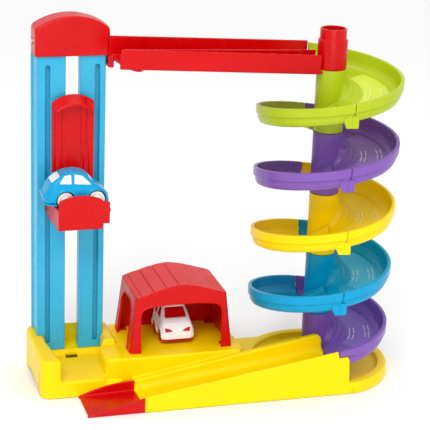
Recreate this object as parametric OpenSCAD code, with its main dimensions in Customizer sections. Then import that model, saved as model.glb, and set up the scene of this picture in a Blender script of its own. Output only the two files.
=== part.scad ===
// Toy car track with a hand lift, a bridge, a five-colour spiral chute,
// a sloping exit channel, a garage canopy and two small cars.
// Millimetres, +Z up, +X from the lift to the spiral, front towards -Y.

/* [Spiral] */
// Outer radius of the chute rim
chute_r = 77; // [75:0.5:78]
// Drop of the chute in one full turn
pitch = 67.9; // [66:0.1:69]
// Height of the first chute's rim where the bridge meets it
rim_z0 = 351.5; // [350:0.5:353]
// Depth from the rim down to the running floor
chute_depth = 18.5; // [16:0.5:19]
// Outer radius of the stacked column
col_r = 15.6; // [15:0.1:16.2]

/* [Tower] */
// Front face of the columns, measured from the front of the exit ramp
tower_y = 122; // [121:0.5:123]
// Depth of each column from front to back
tower_d = 28; // [26:1:30]
// Width of the left column
rail_wl = 30; // [28.5:0.1:30.4]
// Width of the right column
rail_wr = 27.6; // [26:0.1:28]
// Width of the guide slot in each column
slot_w = 5; // [4.6:0.1:5.4]
// Top of the guide slots
slot_top = 341; // [338:1:344]

/* [Lift] */
// Height of the tray floor in the shown position
lift_z = 201; // [160:1:240]
// Width of the back panel
panel_w = 44.1; // [42:0.1:48]
// Height of the back panel's arch above the tray floor
panel_h = 110; // [90:1:115]

/* [Base] */
// Height of the curb around the lift bay
curb_h = 42; // [40:1:43]
// Height of the garage platform
plat_h = 36; // [34:1:38]
// Height of the lift bay floor
bay_h = 18; // [16:1:20]
// Wall thickness of the large mouldings
wall = 2.4; // [2:0.1:2.8]

/* [Cars] */
// Length of the blue car
blue_l = 70; // [66:1:72]
// Width of the blue car over the body
blue_w = 36; // [35:0.5:38]
// Wheel radius of the blue car
blue_r = 8.5; // [8:0.1:8.8]
// Length of the white car
white_l = 50; // [48:1:54]
// Width of the white car over the body
white_w = 38; // [36:0.5:39]
// Wheel radius of the white car
white_r = 7.5; // [7:0.1:7.8]

/* [Hidden] */
$fn = 48;
// shift that brings the middle of the footprint to the origin
cx = 94.25;
cy = 76.5;
ax = 209.5;           // spiral axis
ay = 75;
bump = 3.5;           // the front half turn drops a little less than the back half
col_top = 340.2;       // top of the first column body
tower_xl = -93.4;     // left edge of the left column
tower_xr = -47.9;     // left edge of the right column
slot_xl = -81.9;
slot_xr = -29.8;
base_back = 155;
axle_r = 1.2;
red = [0.86, 0.09, 0.10];
yellow = [1.0, 0.86, 0.02];
blue = [0.05, 0.60, 0.83];
lime = [0.74, 0.82, 0.08];
purple = [0.42, 0.25, 0.62];
white = [0.95, 0.95, 0.94];
steel = [0.7, 0.7, 0.72];
slot_l = slot_top - 32;
// each car: length, width, height, rear axle, front axle, wheel radius
blue_car = [blue_l, blue_w, 37.4, -12.7, 19.5, blue_r];
white_car = [white_l, white_w, 38.5, -11.5, 11.5, white_r];

// ---------------------------------------------------------------- helpers
module at_part() translate([-cx, -cy, 0]) children();

// box given by two corners
module bx(x0, y0, z0, x1, y1, z1)
  translate([x0, y0, z0]) cube([x1 - x0, y1 - y0, z1 - z0]);

// plan rectangle with four rounded corners
module rrect(x0, y0, x1, y1, r) {
  translate([x0 + r, y0]) square([x1 - x0 - 2 * r, y1 - y0]);
  translate([x0, y0 + r]) square([x1 - x0, y1 - y0 - 2 * r]);
  for (x = [x0 + r, x1 - r], y = [y0 + r, y1 - r]) translate([x, y]) circle(r);
}

// outline in X and Z carried along Y from y0 to y1
module xz(y0, y1) translate([0, y1, 0]) rotate([90, 0, 0]) linear_extrude(y1 - y0) children();

// outline in Y and Z carried along X from x0 to x1
module yz(x0, x1) translate([x0, 0, 0]) rotate([90, 0, 90]) linear_extrude(x1 - x0) children();

// self-tapping screw, head down at the origin, shank up
module screw_up(l, r, hr, hh) {
  cylinder(h = hh, r = hr);
  translate([0, 0, hh - 0.01]) cylinder(h = l + 0.01, r = r);
}

// ---------------------------------------------------------------- base
// heights of the exit channel along X
function ramp_floor(x) = 3.5 + 0.125 * x;
function near_top(x) = 17 + 0.155 * x;
function inner_top(x) = 13.5 + 0.176 * x;

module base_shell() color(yellow) at_part() difference() {
  union() {
    // lift bay block with its curb
    linear_extrude(curb_h) rrect(-101, 50.2, -12, base_back, 11);
    // garage platform
    linear_extrude(plat_h) rrect(-30, 57, 121, base_back, 8);
    // low plate between the platform and the spiral foot
    bx(112, 50, 0, ax, 146, 10);
    // spiral foot, flush with the channel in front
    intersection() {
      translate([ax, ay, 0]) cylinder(h = 12.5, r = 80, $fn = 96);
      bx(100, -1.2, -1, 300, 160, 20);
    }
    // exit channel: floor body, front wall, inner wall
    xz(0, 55) polygon([[-2, 0], [208.1, 0], [208.1, ramp_floor(197)], [197, ramp_floor(197)], [-2, ramp_floor(-2)]]);
    xz(-1.2, 1.8) polygon([[-2, 0], [225, 0], [221.5, 39], [219, 43], [208.3, 41.8],
      [207.9, near_top(207.9)], [-2, near_top(-2)]]);
    difference() {
      xz(50, 57) polygon([[-2, 0], [208, 0], [208, inner_top(200)], [200, inner_top(200)], [-2, inner_top(-2)]]);
      // rounded upper end of the inner wall
      translate([200, 0, inner_top(200) - 8]) xz(49, 58) difference() {
        square([9, 9]);
        circle(8);
      }
    }
    // boss that carries the column stack
    translate([ax, ay, 5]) cylinder(h = 22, r = 13.1);
    // two bosses under the lift columns
    for (x = [-79.5, -34.5]) translate([x, 136, 0]) cylinder(h = 20, r = 6);
  }
  // lift bay, open to the front
  translate([0, 0, bay_h]) linear_extrude(60) polygon([[-80, 40], [-86.3, 100], [-86.3, tower_y - 0.2],
    [-23.5, tower_y - 0.2], [-23.5, 104], [-31, 93], [-31, 40]]);
  // raised end of the bay floor behind the tower front, and the column sockets
  bx(-86.3, tower_y - 0.3, 24, -21.3, tower_y + tower_d + 0.3, 60);
  // the platform's own level right of the bay
  bx(-12.5, 40, plat_h, 122, 160, 60);
  bx(-31.5, 40, plat_h, -11, 97, 60);
  // low shelf in front of the platform, beside the exit ramp
  bx(-30.5, 40, 13, -2, 56.9, 60);
  // square drain hole in front of the gap between the columns
  bx(-63, 112, -1, -50, 121, 30);
  // dish of the spiral foot
  difference() {
    translate([ax, ay, 7]) cylinder(h = 30, r = 69, $fn = 96);
    translate([ax, ay, 0]) cylinder(h = 40, r = 13.1);
    bx(112, -2, 0, 227, 58, 60);
  }
  // hollow underside
  translate([0, 0, -1]) {
    linear_extrude(curb_h - 1.5) rrect(-98.5, 52.8, -88.8, 152.5, 4.5);
    linear_extrude(bay_h - 1.5) rrect(-80.5, 52.8, -64.5, 128, 3);
    linear_extrude(bay_h - 1.5) rrect(-48.5, 52.8, -33, 128, 3);
    linear_extrude(bay_h - 1.5) rrect(-62, 52.8, -51, 104.5, 3);
    linear_extrude(plat_h - 1.5) rrect(-18.5, 59.5, 44, 152.5, 5);
    linear_extrude(plat_h - 1.5) rrect(46.5, 59.5, 118.5, 152.5, 5);
    translate([ax, ay, 0]) difference() {
      cylinder(h = 5.5, r = 77.5, $fn = 96);
      bx(-100, -90, -1, 100, -73.7, 9);
      translate([0, 0, -1]) cylinder(h = 9, r = 20);
      bx(-100, -90, -1, 18, -15, 9);
    }
    bx(123, 59.5, 0, 141, 143.5, 5.5);
  }
  xz(2, 48) polygon([[4, -1], [206, -1], [206, ramp_floor(206) - 2.5], [12, ramp_floor(12) - 2.5]]);
  // bore of the column boss
  translate([ax, ay, -1]) cylinder(h = 40, r = 10.4);
  // screw holes and head recesses under the lift columns
  for (x = [-79.5, -34.5]) translate([x, 136, -1]) {
    cylinder(h = 40, r = 1.65);
    cylinder(h = 9, r = 3.9);
  }
  // shallow arch under the left wall
  translate([-110, 108, -84]) rotate([0, 90, 0]) cylinder(h = 14, r = 90, $fn = 120);
  // four pockets for the canopy's pegs
  for (x = [3.7, 103.7], y = [74.5, 138.5]) bx(x - 2.7, y - 3.2, plat_h - 10, x + 2.7, y + 3.2, plat_h + 1);
  // pocket for the exit ramp's tongue
  bx(-3, 10, -1, 8, 40, 2.2);
}

module exit_ramp() color(red) at_part() {
  n = 10;
  // running floor
  xz(2, 48) polygon([[-62, 0], [-2.4, 0], [-2.4, 3.4], [-60, 1.2]]);
  // front wall, straight
  xz(-1, 2.2) polygon([[-62, 0], [-2.4, 0], [-2.4, 15.5], [-61.5, 1.2]]);
  // back wall with a rising curve
  xz(47.4, 49.9) polygon(concat([[-2.4, 0], [-2.4, 14]],
    [for (i = [1:n]) let (t = i / n) [-2.4 - 59.6 * t, 1 + 13 * (1 - t * t)]], [[-62, 0]]));
  // tongue under the channel
  bx(-3, 11, 0, 6, 39, 1.6);
}

// ---------------------------------------------------------------- tower
// plan of one column, open at the back: front plate, deep outer wall, short wall on the gap side,
// and the guide channel behind the slot at s
module rail_section(w, s, outer_left) {
  square([w, wall]);
  translate([outer_left ? 0 : w - wall, 0]) square([wall, tower_d]);
  translate([outer_left ? w - wall : 0, 0]) square([wall, 13]);
  for (q = [s - 8.2, s + 6.8]) translate([q, 0]) square([1.4, 7.4]);
  translate([s - 8.2, 5.8]) square([16.4, 1.6]);
}

module rail(x0, w, sx, outer_left, cut_lo, cut_hi) difference() {
  bore = sx + (sx < -50 ? 2.4 : -4.7);
  union() {
    translate([x0, tower_y, 24.2]) linear_extrude(350) rail_section(w, sx - x0, outer_left);
    // stiffening ribs across the open back
    for (z = [66:50:316]) bx(x0 + 1, tower_y + 7, z, x0 + w - 1, tower_y + 13, z + 1.6);
    // foot plate with a screw boss
    bx(x0 + 0.5, tower_y + 0.5, 24.2, x0 + w - 0.5, tower_y + 20, 27.2);
    translate([bore, 136, 24.2]) cylinder(h = 14, r = 4.2);
  }
  // guide slot with round ends
  translate([sx, tower_y - 1, 0]) xz(0, wall + 2) {
    translate([-slot_w / 2, 32 + slot_w / 2]) square([slot_w, slot_l - slot_w]);
    translate([0, 32 + slot_w / 2]) circle(slot_w / 2);
    translate([0, slot_top - slot_w / 2]) circle(slot_w / 2);
  }
  // the outer strip ends on top of the curb
  bx(cut_lo, tower_y - 1, 20, cut_hi, tower_y + tower_d + 1, curb_h + 0.2);
  translate([bore, 136, 20]) cylinder(h = 16, r = 1.55);
}

module tower_left() color(blue) at_part() difference() {
  rail(tower_xl, rail_wl, slot_xl, true, -100, -85.8);
  // screw hole for the cap
  translate([-96, 136, 364]) rotate([0, 90, 0]) cylinder(h = 6, r = 1.6);
}

module tower_right() color(blue) at_part() difference() {
  rail(tower_xr, rail_wr, slot_xr, false, -21.5, -15);
  translate([-24, 136, 364]) rotate([0, 90, 0]) cylinder(h = 6, r = 1.6);
  // slot for the bridge's hook
  bx(-24, 130, 335.5, -19, 140, 344);
}

module tower_screws() color(steel) at_part()
  for (x = [-79.5, -34.5]) translate([x, 136, 5.8]) screw_up(26, 1.5, 3.5, 2.2);

module cap_outline(g) {
  // box with an arched top: g shrinks it on the top and sides
  w = 78 - 2 * g;
  intersection() {
    translate([-56.4 - w / 2, 330]) square([w, 70]);
    translate([-56.4, 324.9]) circle(67 - g, $fn = 96);
  }
}

module tower_cap() color(red) at_part() difference() {
  intersection() {
    xz(119.2, 152.8) cap_outline(0);
    bx(-110, 100, 350.5, 0, 160, 400);
  }
  intersection() {
    xz(121.7, 150.3) cap_outline(1.7);
    bx(-110, 100, 340, 0, 160, 400);
  }
  for (x = [-98, -22]) translate([x, 136, 364]) rotate([0, 90, 0]) cylinder(h = 8, r = 1.6);
}

module cap_screws() color(steel) at_part() {
  translate([-97, 136, 364]) rotate([0, 90, 0]) screw_up(7, 1.5, 3, 1.5);
  translate([-15.8, 136, 364]) rotate([0, -90, 0]) screw_up(7, 1.5, 3, 1.5);
}

// ---------------------------------------------------------------- bridge
// strip of thickness t between two plan points, on the left of the line
module strip(p, q, t) {
  d = q - p;
  n = [-d[1], d[0]] / norm(d) * t;
  polygon([p, q, q + n, p + n]);
}

module bridge_track() color(red) at_part() difference() {
  union() {
    translate([-15, 0, 351]) rotate([0, 3.2, 0]) {
      // floor
      translate([0, 0, -2.6]) linear_extrude(2.6) polygon([[-1, 65], [212, 65], [219, 150.5], [8, 117], [0, 117]]);
      // front wall with a round end, leaning inner wall, back wall
      translate([0, 0, -3]) linear_extrude(20.4) {
        translate([1.2, 64]) square([205, 2.4]);
        translate([1.2, 66.4]) circle(2.4);
      }
      linear_extrude(17) strip([1.2, 66.4], [212, 92], 2.2);
      difference() {
        translate([0, 0, -2.6]) linear_extrude(23) {
          strip([0.6, 117], [223.3, 151.7], 2.4);
          translate([0.6, 117]) circle(2.4);
        }
        translate([0, 0, 20]) rotate([0, 1.5, 0]) bx(-20, 100, 0, 240, 170, 20);
      }
      // bracket under the tower end
      xz(112, 119) polygon([[-3, -2.4], [12, -2], [12, -9], [7, -9]]);
      xz(66, 69) polygon([[0, -2], [22, -2], [18, -5.4], [14, -5.4]]);
    }
    // pad against the tower side, with a hook that drops into the column
    bx(-19.9, 116, 338, -14, 141, 350.2);
    bx(-25.5, 131, 340, -19.5, 139, 342.5);
    bx(-25.5, 131, 336.5, -23.1, 139, 342.5);
    // sleeve on top of the column
    translate([ax, ay, 0]) {
      translate([0, 0, col_top + 0.1]) cylinder(h = 31.2, r = col_r, $fn = 64);
      translate([0, 0, col_top + 31]) cylinder(h = 12, r = 14, $fn = 64);
    }
    // flange that joins the sleeve to the channel floor
    intersection() {
      translate([ax, ay, 336.6]) cylinder(h = 6.8, r = 19.5, $fn = 64);
      bx(180, 50, 330, ax - 0.8, 100, 350);
    }
  }
  translate([ax, ay, 330]) cylinder(h = 70, r = 11.5);
  translate([ax, ay, 330]) cylinder(h = col_top + 11 - 330, r = 13.2);
  // the channel floor stops clear of the column below the sleeve
  translate([ax, ay, 320]) cylinder(h = col_top + 0.05 - 320, r = col_r + 0.3, $fn = 64);
}

// ---------------------------------------------------------------- spiral
// rim height after t turns
function zr(t) = rim_z0 - pitch * t + bump * pow(sin(180 * t), 2);

// chute section as radius and height below the rim
function wall_part(d) = [
  [62, -d], [66.5, -d + 0.8], [70, -d + 3.4], [72, -d + 7.5], [72.6, -d + 12],
  [72.8, -0.5], [73.4, 0], [76.2, 0], [chute_r, -0.8], [chute_r, -9.2],
  [74.8, -9.6], [74.6, -d + 3.5], [72.8, -d - 0.2], [69, -d - 2], [62, -d - 2.4]];
// the trough's foot meets the column all round: its facets clear the column by a hair
function foot_r() = col_r + 0.15;
function section_a(d) = concat([[foot_r(), -d + 13], [foot_r() + 0.8, -d + 10.4], [foot_r() + 2.6, -d + 6.6],
  [foot_r() + 5.8, -d + 3.4], [foot_r() + 10.5, -d + 1.3], [foot_r() + 16, -d + 0.3]], wall_part(d),
  [[foot_r() + 10, -d - 2.4], [foot_r(), -d - 2.4]]);
function section_b(d) = concat([[17, -d + 6], [19.2, -d + 6], [19.8, -d + 2.5], [23, -d]],
  wall_part(d), [[21.5, -d - 2.4], [17, -d - 0.4]]);

// convex pieces that fill the end of a section, as point numbers: the outer wall from point w on
function wall_ends(w) = [[w, w + 1, w + 13, w + 14], [w + 1, w + 2, w + 12, w + 13], [w + 2, w + 3, w + 11, w + 12],
  [w + 3, w + 4, w + 10, w + 11], [w + 4, w + 5, w + 9, w + 10], [w + 5, w + 6, w + 7, w + 8, w + 9]];
function ends_a() = concat([[0, 1, 22], [1, 2, 22], [2, 3, 22], [3, 4, 22], [4, 21, 22], [4, 5, 21], [5, 6, 20, 21]], wall_ends(6));
function ends_b() = concat([[0, 1, 2, 20], [2, 3, 19, 20], [3, 4, 18, 19]], wall_ends(4));

// section carried down the helix from turn t0 to turn t1
module sweep(line, ends, t0, t1, n) {
  m = len(line);
  sec = [for (j = [m - 1:-1:0]) line[j]];
  pts = [for (i = [0:n]) let (t = t0 + (t1 - t0) * i / n, th = 90 - 360 * t)
    for (p = sec) [p[0] * cos(th), p[0] * sin(th), zr(t) + p[1]]];
  polyhedron(pts, concat(
    [for (e = ends) [for (j = [len(e) - 1:-1:0]) m - 1 - e[j]]],
    [for (e = ends) [for (j = e) n * m + m - 1 - j]],
    [for (i = [0:n - 1], j = [0:m - 1]) let (k = (j + 1) % m) [i * m + j, (i + 1) * m + j, (i + 1) * m + k]],
    [for (i = [0:n - 1], j = [0:m - 1]) let (k = (j + 1) % m) [i * m + j, (i + 1) * m + k, i * m + k]]));
}

// hanging clip tab under the wall at the seam of turn t: the lap reaches outside the next moulding's wall
module clip_tab(t, lap) {
  rotate([0, 0, 90 - 360 * t]) translate([0, 0, zr(t)]) rotate([90, 0, 90]) {
    translate([0, 0, 73.5]) linear_extrude(3.4) polygon([[-10.5, -9], [-10.5, -13], [-5, -24.5], [-0.6, -24.5], [-0.6, -9]]);
    if (lap) translate([0, 0, 75]) linear_extrude(1.9) polygon([[-1, -9.75], [-1, -24.5], [4.5, -24.5], [4.5, -9.75]]);
  }
}

module column_body(z_lo, z_hi) difference() {
  union() {
    translate([0, 0, z_lo + 0.2]) cylinder(h = z_hi - z_lo - 0.2, r = col_r, $fn = 64);
    translate([0, 0, z_hi - 1]) cylinder(h = 11, r = 13, $fn = 64);
  }
  translate([0, 0, z_lo - 1]) cylinder(h = z_hi - z_lo + 30, r = 10.8);
  translate([0, 0, z_lo - 1]) cylinder(h = z_hi - z_lo - 6, r = 13.2);
}

// half turn with the column: k counts the turns from the top
module chute_a(k, z_lo) {
  z_hi = col_top - pitch * (k - 1);
  sweep(section_a(chute_depth), ends_a(), k - 1 + 0.001, k - 0.5 - 0.001, 18);
  column_body(z_lo, z_hi);
  clip_tab(k - 1, k > 1);
}

// plain half turn
module chute_b(k) {
  sweep(section_b(chute_depth), ends_b(), k - 0.5 + 0.001, k - 0.001, 18);
  clip_tab(k - 0.5, true);
}

module at_axis() at_part() translate([ax, ay, 0]) children();
module chute_1a() color(lime) at_axis() chute_a(1, col_top - pitch);
module chute_1b() color(lime) at_axis() chute_b(1);
module chute_2a() color(purple) at_axis() chute_a(2, col_top - 2 * pitch);
module chute_2b() color(purple) at_axis() chute_b(2);
module chute_3a() color(yellow) at_axis() chute_a(3, col_top - 3 * pitch);
module chute_3b() color(yellow) at_axis() chute_b(3);
module chute_4a() color(blue) at_axis() chute_a(4, col_top - 4 * pitch);
module chute_4b() color(blue) at_axis() chute_b(4);
// the last half turn is cut away where the channel's front wall laps over its end
module chute_5a() color(purple) at_axis() difference() {
  chute_a(5, 7);
  bx(-1, -80, -1, 17.5, -72.5, 45.3);
  bx(-2, -80, -1, 0.6, -15.68, 60);
}

// ---------------------------------------------------------------- garage
// arched doorway outline, w wide and h high, round upper corners
module doorway(w, h, r) {
  translate([-w / 2, -1]) square([w, h - r + 1]);
  translate([-w / 2 + r, -1]) square([w - 2 * r, h + 1]);
  for (s = [-1, 1]) translate([s * (w / 2 - r), h - r]) circle(r);
}

// splayed body: half sizes at the foot and at the eaves
module splay(x0, y0, x1, y1, z0, z1) intersection() {
  xz(-y0 - 1, y0 + 1) polygon([[-x0, z0], [x0, z0], [x1, z1], [-x1, z1]]);
  yz(-x0 - 1, x0 + 1) polygon([[-y0, z0], [y0, z0], [y1, z1], [-y1, z1]]);
}

module garage_canopy() color(red) at_part() translate([53.7, 106.5, plat_h + 0.05]) {
  difference() {
    union() {
      splay(57, 39.5, 50, 36.5, 0, 62);
      // roof with a flattened ridge
      xz(-38.5, 38.5) polygon([[-50.8, 60], [-50.8, 61.6], [-11, 73.6], [-5, 74.4],
        [5, 74.4], [11, 73.6], [50.8, 61.6], [50.8, 60]]);
    }
    union() {
      splay(54.8, 37.3, 48.2, 34.4, -1, 60.5);
      xz(-34.2, 34.2) polygon([[-46, 50], [-46, 60.2], [-10, 71.2], [10, 71.2], [46, 60.2], [46, 50]]);
    }
    xz(-50, 0) doorway(89, 53, 14);
    yz(-70, 0) doorway(44, 52, 15);
    // plank grooves on the roof
    for (s = [-1, 1], d = [14, 22.5, 31, 39.5]) translate([s * d, 0, 73.6 - (d - 11) * 0.3015])
      rotate([0, s * 16.78, 0]) bx(-0.5, -45, -0.7, 0.5, 45, 3);
  }
  // foot plates with pegs
  for (sx = [-1, 1], sy = [-1, 1]) {
    bx(sx > 0 ? 45 : -55.8, sy > 0 ? 27 : -38.2, 0, sx > 0 ? 55.8 : -45, sy > 0 ? 38.2 : -27, 2.2);
    bx(sx * 50 - 2.4, sy * 32 - 2.9, -8, sx * 50 + 2.4, sy * 32 + 2.9, 1);
  }
}

// ---------------------------------------------------------------- lift
// arched visor: a tube of radius r that slopes forward and down
module visor(xm, r) translate([xm, 115, lift_z + panel_h - 38.5]) rotate([121, 0, 0])
  translate([0, 0, -40]) cylinder(h = 80, r = r, $fn = 96);

module lift_carriage() color(red) at_part() {
  xm = -56.85;
  // back panel with an arched head and shallow flutes
  difference() {
    intersection() {
      xz(113.5, 117.5) translate([xm - panel_w / 2, lift_z - 18]) square([panel_w, panel_h + 25]);
      xz(100, 120) translate([xm, lift_z + panel_h - 34]) circle(34, $fn = 96);
    }
    bx(-90, 100, lift_z - 30, 0, 125, lift_z + 60);
  }
  difference() {
    xz(113.5, 117.5) translate([xm - panel_w / 2, lift_z - 18]) square([panel_w, panel_h - 10]);
    for (x = [-15, -7.5, 7.5, 15]) translate([xm + x, 112.9, lift_z + 20]) cylinder(h = panel_h, r = 1.6);
  }
  // visor over the cabin
  difference() {
    intersection() {
      visor(xm, 33);
      bx(xm - panel_w / 2, 102.5, lift_z + panel_h - 24, xm + panel_w / 2, 115, lift_z + panel_h + 2);
    }
    visor(xm, 30.8);
  }
  // tray: floor, front apron with an arched top, back wall, slanted left end, right skirt
  translate([0, 0, lift_z - 2.4]) linear_extrude(2.4) polygon([[-80.2, 67], [-27, 67], [-27, 116], [-83.6, 116]]);
  intersection() {
    xz(66, 68.6) translate([-80.3, lift_z - 21]) square([45.9, 40]);
    xz(60, 70) translate([-57.5, lift_z + 16 - 52]) circle(52, $fn = 96);
  }
  xz(66, 68.6) polygon([[-36, lift_z - 16.5], [-27, lift_z - 16.5], [-27, lift_z + 8], [-36, lift_z + 9.5]]);
  bx(-83.9, 114.5, lift_z - 20, -27, 117.5, lift_z);
  translate([0, 0, lift_z - 20.5]) linear_extrude(20.5) strip([-80.3, 66.5], [-84.4, 117.4], -2.4);
  bx(-36.8, 67, lift_z - 20.5, -34.4, 116, lift_z);
  // lip that reaches over to the bridge
  xz(72, 110) polygon([[-28, lift_z - 2.4], [-25, lift_z - 3.6], [-24.6, lift_z - 2.2], [-27.5, lift_z]]);
  // arms through the slots
  for (x = [slot_xl, slot_xr]) difference() {
    bx(x - 1.9, 115, lift_z - 18.5, x + 1.9, tower_y + 2.7, lift_z - 10);
    translate([x, 110, lift_z - 14.25]) rotate([-90, 0, 0]) cylinder(h = 30, r = 1.1);
  }
}

// guide shoe behind the slot, with a recess for its screw's head
module shoe(x) difference() {
  bx(x - 3.9, tower_y + 2.7, lift_z - 18.5, x + 3.9, tower_y + 5.3, lift_z - 10);
  translate([x, tower_y, lift_z - 14.25]) rotate([-90, 0, 0]) {
    cylinder(h = 10, r = 1.2);
    translate([0, 0, 3.8]) cylinder(h = 6, r = 2.5);
  }
}
module guide_shoe_left() color(white) at_part() shoe(slot_xl);
module guide_shoe_right() color(white) at_part() shoe(slot_xr);
module shoe_screws() color(steel) at_part()
  for (x = [slot_xl, slot_xr]) translate([x, tower_y + 5.2, lift_z - 14.25]) rotate([90, 0, 0]) screw_up(6.5, 1.1, 2.3, 1.3);

// ---------------------------------------------------------------- cars
// each car is drawn with its nose towards +X, wheels on z = 0
// side outlines, drawn at the full length
function blue_side() = [[-35, 5], [-35, 11], [-34, 14.3], [-31.5, 18.5], [-29.4, 23], [-26.3, 27.4], [-22.2, 31.2],
  [-17, 34], [-10.8, 36.5], [-2.4, 37.4], [5.9, 36], [11.2, 33.2], [15.4, 29.4], [19.7, 23.9], [23.9, 20.8],
  [29.3, 16.6], [33.6, 11.5], [35, 8], [35, 5]];
function white_side() = [[-25, 5], [-25, 16], [-24, 23], [-21, 30], [-16, 35.5], [-9, 38], [-3, 38.5], [2, 37],
  [6, 33.5], [10.5, 28], [18, 22.5], [22.5, 17], [24.5, 11], [25, 7.5], [25, 5]];

// closed body of car c with side outline s, shrunk by g
module car_solid(c, s, g) intersection() {
  xz(-c[1] / 2 + g, c[1] / 2 - g) translate([0, 5]) scale([(c[0] - 2 * g) / c[0], (c[2] - 5 - 1.1 * g) / (c[2] - 5)])
    translate([0, -5]) polygon(s);
  linear_extrude(60) rrect(-c[0] / 2 + g, -c[1] / 2 + g, c[0] / 2 - g, c[1] / 2 - g, 10 - g);
  // the roof is narrower than the sills
  yz(-50, 50) polygon([[-c[1] / 2 + g, 0], [c[1] / 2 - g, 0], [c[1] / 2 - g, 20], [c[1] / 2 - 5 - g, c[2]],
    [-c[1] / 2 + 5 + g, c[2]], [-c[1] / 2 + g, 20]]);
}

// hollow body with wheel arches
module car_hollow(c, s) difference() {
  car_solid(c, s, 0);
  translate([0, 0, -0.6]) car_solid(c, s, 1.8);
  for (x = [c[3], c[4]]) translate([x, -30, c[5]]) rotate([-90, 0, 0]) cylinder(h = 60, r = c[5] + 1.2);
}

// ring of the shell that the chassis screw bites into
module car_boss(c) difference() {
  translate([-1, 0, 9.6]) cylinder(h = c[2] - 11.6, r = 3.6);
  translate([-1, 0, 9]) cylinder(h = 10, r = 1.55);
}

// window insert that lines the shell above z0
module car_insert(c, s, z0) difference() {
  translate([0, 0, -0.8]) car_solid(c, s, 2);
  translate([0, 0, -0.8]) car_solid(c, s, 3.5);
  bx(-50, -50, -10, 50, 50, z0);
  translate([-1, 0, 0]) cylinder(h = 60, r = 3.9);
}

module car_chassis(c) difference() {
  hw = c[1] / 2 - 11.4;
  union() {
    bx(-c[0] / 2 + 4, -hw, 4.4, c[0] / 2 - 4, hw, 7);
    for (x = [c[3], c[4]]) bx(x - 3, -hw, 4.6, x + 3, hw, c[5] + 3.1);
    translate([-1, 0, 4.4]) cylinder(h = 5, r = 4.4);
    for (x = [-c[0] / 2 + 2.5, c[0] / 2 - 4.5]) bx(x, -c[1] / 2 + 8, 4.4, x + 2, c[1] / 2 - 8, 6.8);
  }
  for (x = [c[3], c[4]]) translate([x, -20, c[5]]) rotate([-90, 0, 0]) cylinder(h = 40, r = axle_r + 0.06);
  translate([-1, 0, 0]) { cylinder(h = 20, r = 1.6); cylinder(h = 5.9, r = 2.9); }
}

module car_screw() translate([-1, 0, 4.6]) screw_up(10, 1.5, 2.6, 1.3);

module car_axle(c, x) translate([x, -c[1] / 2 + 1.9, c[5]]) rotate([-90, 0, 0]) cylinder(h = c[1] - 3.8, r = axle_r);

// wheel on the axle at x: q is left or right
module car_wheel(c, x, q) translate([x, q * (c[1] / 2 - 5.2), c[5]]) rotate([q * -90, 0, 0]) difference() {
  union() {
    translate([0, 0, -3.6]) cylinder(h = 7.4, r = c[5]);
    translate([0, 0, 3.6]) cylinder(h = 1, r = 3.2);
    translate([0, 0, -5.8]) cylinder(h = 3, r = 3);
  }
  translate([0, 0, 2.9]) difference() { cylinder(h = 3, r = c[5] - 2.2); cylinder(h = 3, r = 3.2); }
  translate([0, 0, -10]) cylinder(h = 13.5, r = axle_r);
}

module blue_at() at_part() translate([-59, 90.5, lift_z + 0.5]) children();
module white_at() at_part() translate([54, 107.5, plat_h + 0.5]) rotate([0, 0, -90]) children();

module blue_shell() color(blue) blue_at() {
  difference() {
    car_hollow(blue_car, blue_side());
    // two side windows on each side, front screen, rear screen
    xz(-40, 40) {
      polygon([[-17.7, 27.8], [-12.6, 35.4], [-6.4, 36.2], [-6.4, 26.8]]);
      polygon([[-3.8, 26.7], [-3.3, 36.4], [4.5, 34.8], [13.4, 25.4]]);
    }
    bx(13, -11, 25.5, 40, 11, 33);
    bx(-40, -10.5, 27, -19, 10.5, 34);
  }
  car_boss(blue_car);
}
module blue_windows() color(white) blue_at() car_insert(blue_car, blue_side(), 22.5);
module blue_chassis() color(blue) blue_at() car_chassis(blue_car);
module blue_screw() color(steel) blue_at() car_screw();
module blue_axle_front() color(steel) blue_at() car_axle(blue_car, blue_car[4]);
module blue_wheel_fl() color(white) blue_at() car_wheel(blue_car, blue_car[4], 1);
module blue_wheel_fr() color(white) blue_at() car_wheel(blue_car, blue_car[4], -1);
module blue_axle_rear() color(steel) blue_at() car_axle(blue_car, blue_car[3]);
module blue_wheel_rl() color(white) blue_at() car_wheel(blue_car, blue_car[3], 1);
module blue_wheel_rr() color(white) blue_at() car_wheel(blue_car, blue_car[3], -1);

module white_shell() color(white) white_at() {
  difference() {
    car_hollow(white_car, white_side());
    // two side windows on each side, front screen, rear screen, two slanted lamps
    xz(-40, 40) {
      polygon([[-17.5, 25.5], [-13, 34], [-7.5, 35], [-7.5, 25.5]]);
      polygon([[-5, 25.5], [-5, 35.2], [1, 34.6], [7.5, 25.5]]);
    }
    bx(3.2, -11, 28.6, 30, 11, 34.6);
    bx(-40, -10, 27, -16.5, 10, 34);
    for (q = [-1, 1]) translate([15, q * 8.6, 15.7]) rotate([q * 8, 0, 0]) bx(0, -3.6, -1.4, 16, 3.6, 1.4);
  }
  car_boss(white_car);
}
module white_windows() color(red) white_at() {
  car_insert(white_car, white_side(), 16.2);
  // lamp lenses
  for (q = [-1, 1]) translate([17, q * 8.6, 15.7]) rotate([q * 8, 0, 0]) bx(0, -3.4, -1.2, 5.8, 3.4, 1.2);
}
module white_chassis() color(red) white_at() car_chassis(white_car);
module white_screw() color(steel) white_at() car_screw();
module white_axle_front() color(steel) white_at() car_axle(white_car, white_car[4]);
module white_wheel_fl() color(red) white_at() car_wheel(white_car, white_car[4], 1);
module white_wheel_fr() color(red) white_at() car_wheel(white_car, white_car[4], -1);
module white_axle_rear() color(steel) white_at() car_axle(white_car, white_car[3]);
module white_wheel_rl() color(red) white_at() car_wheel(white_car, white_car[3], 1);
module white_wheel_rr() color(red) white_at() car_wheel(white_car, white_car[3], -1);

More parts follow.
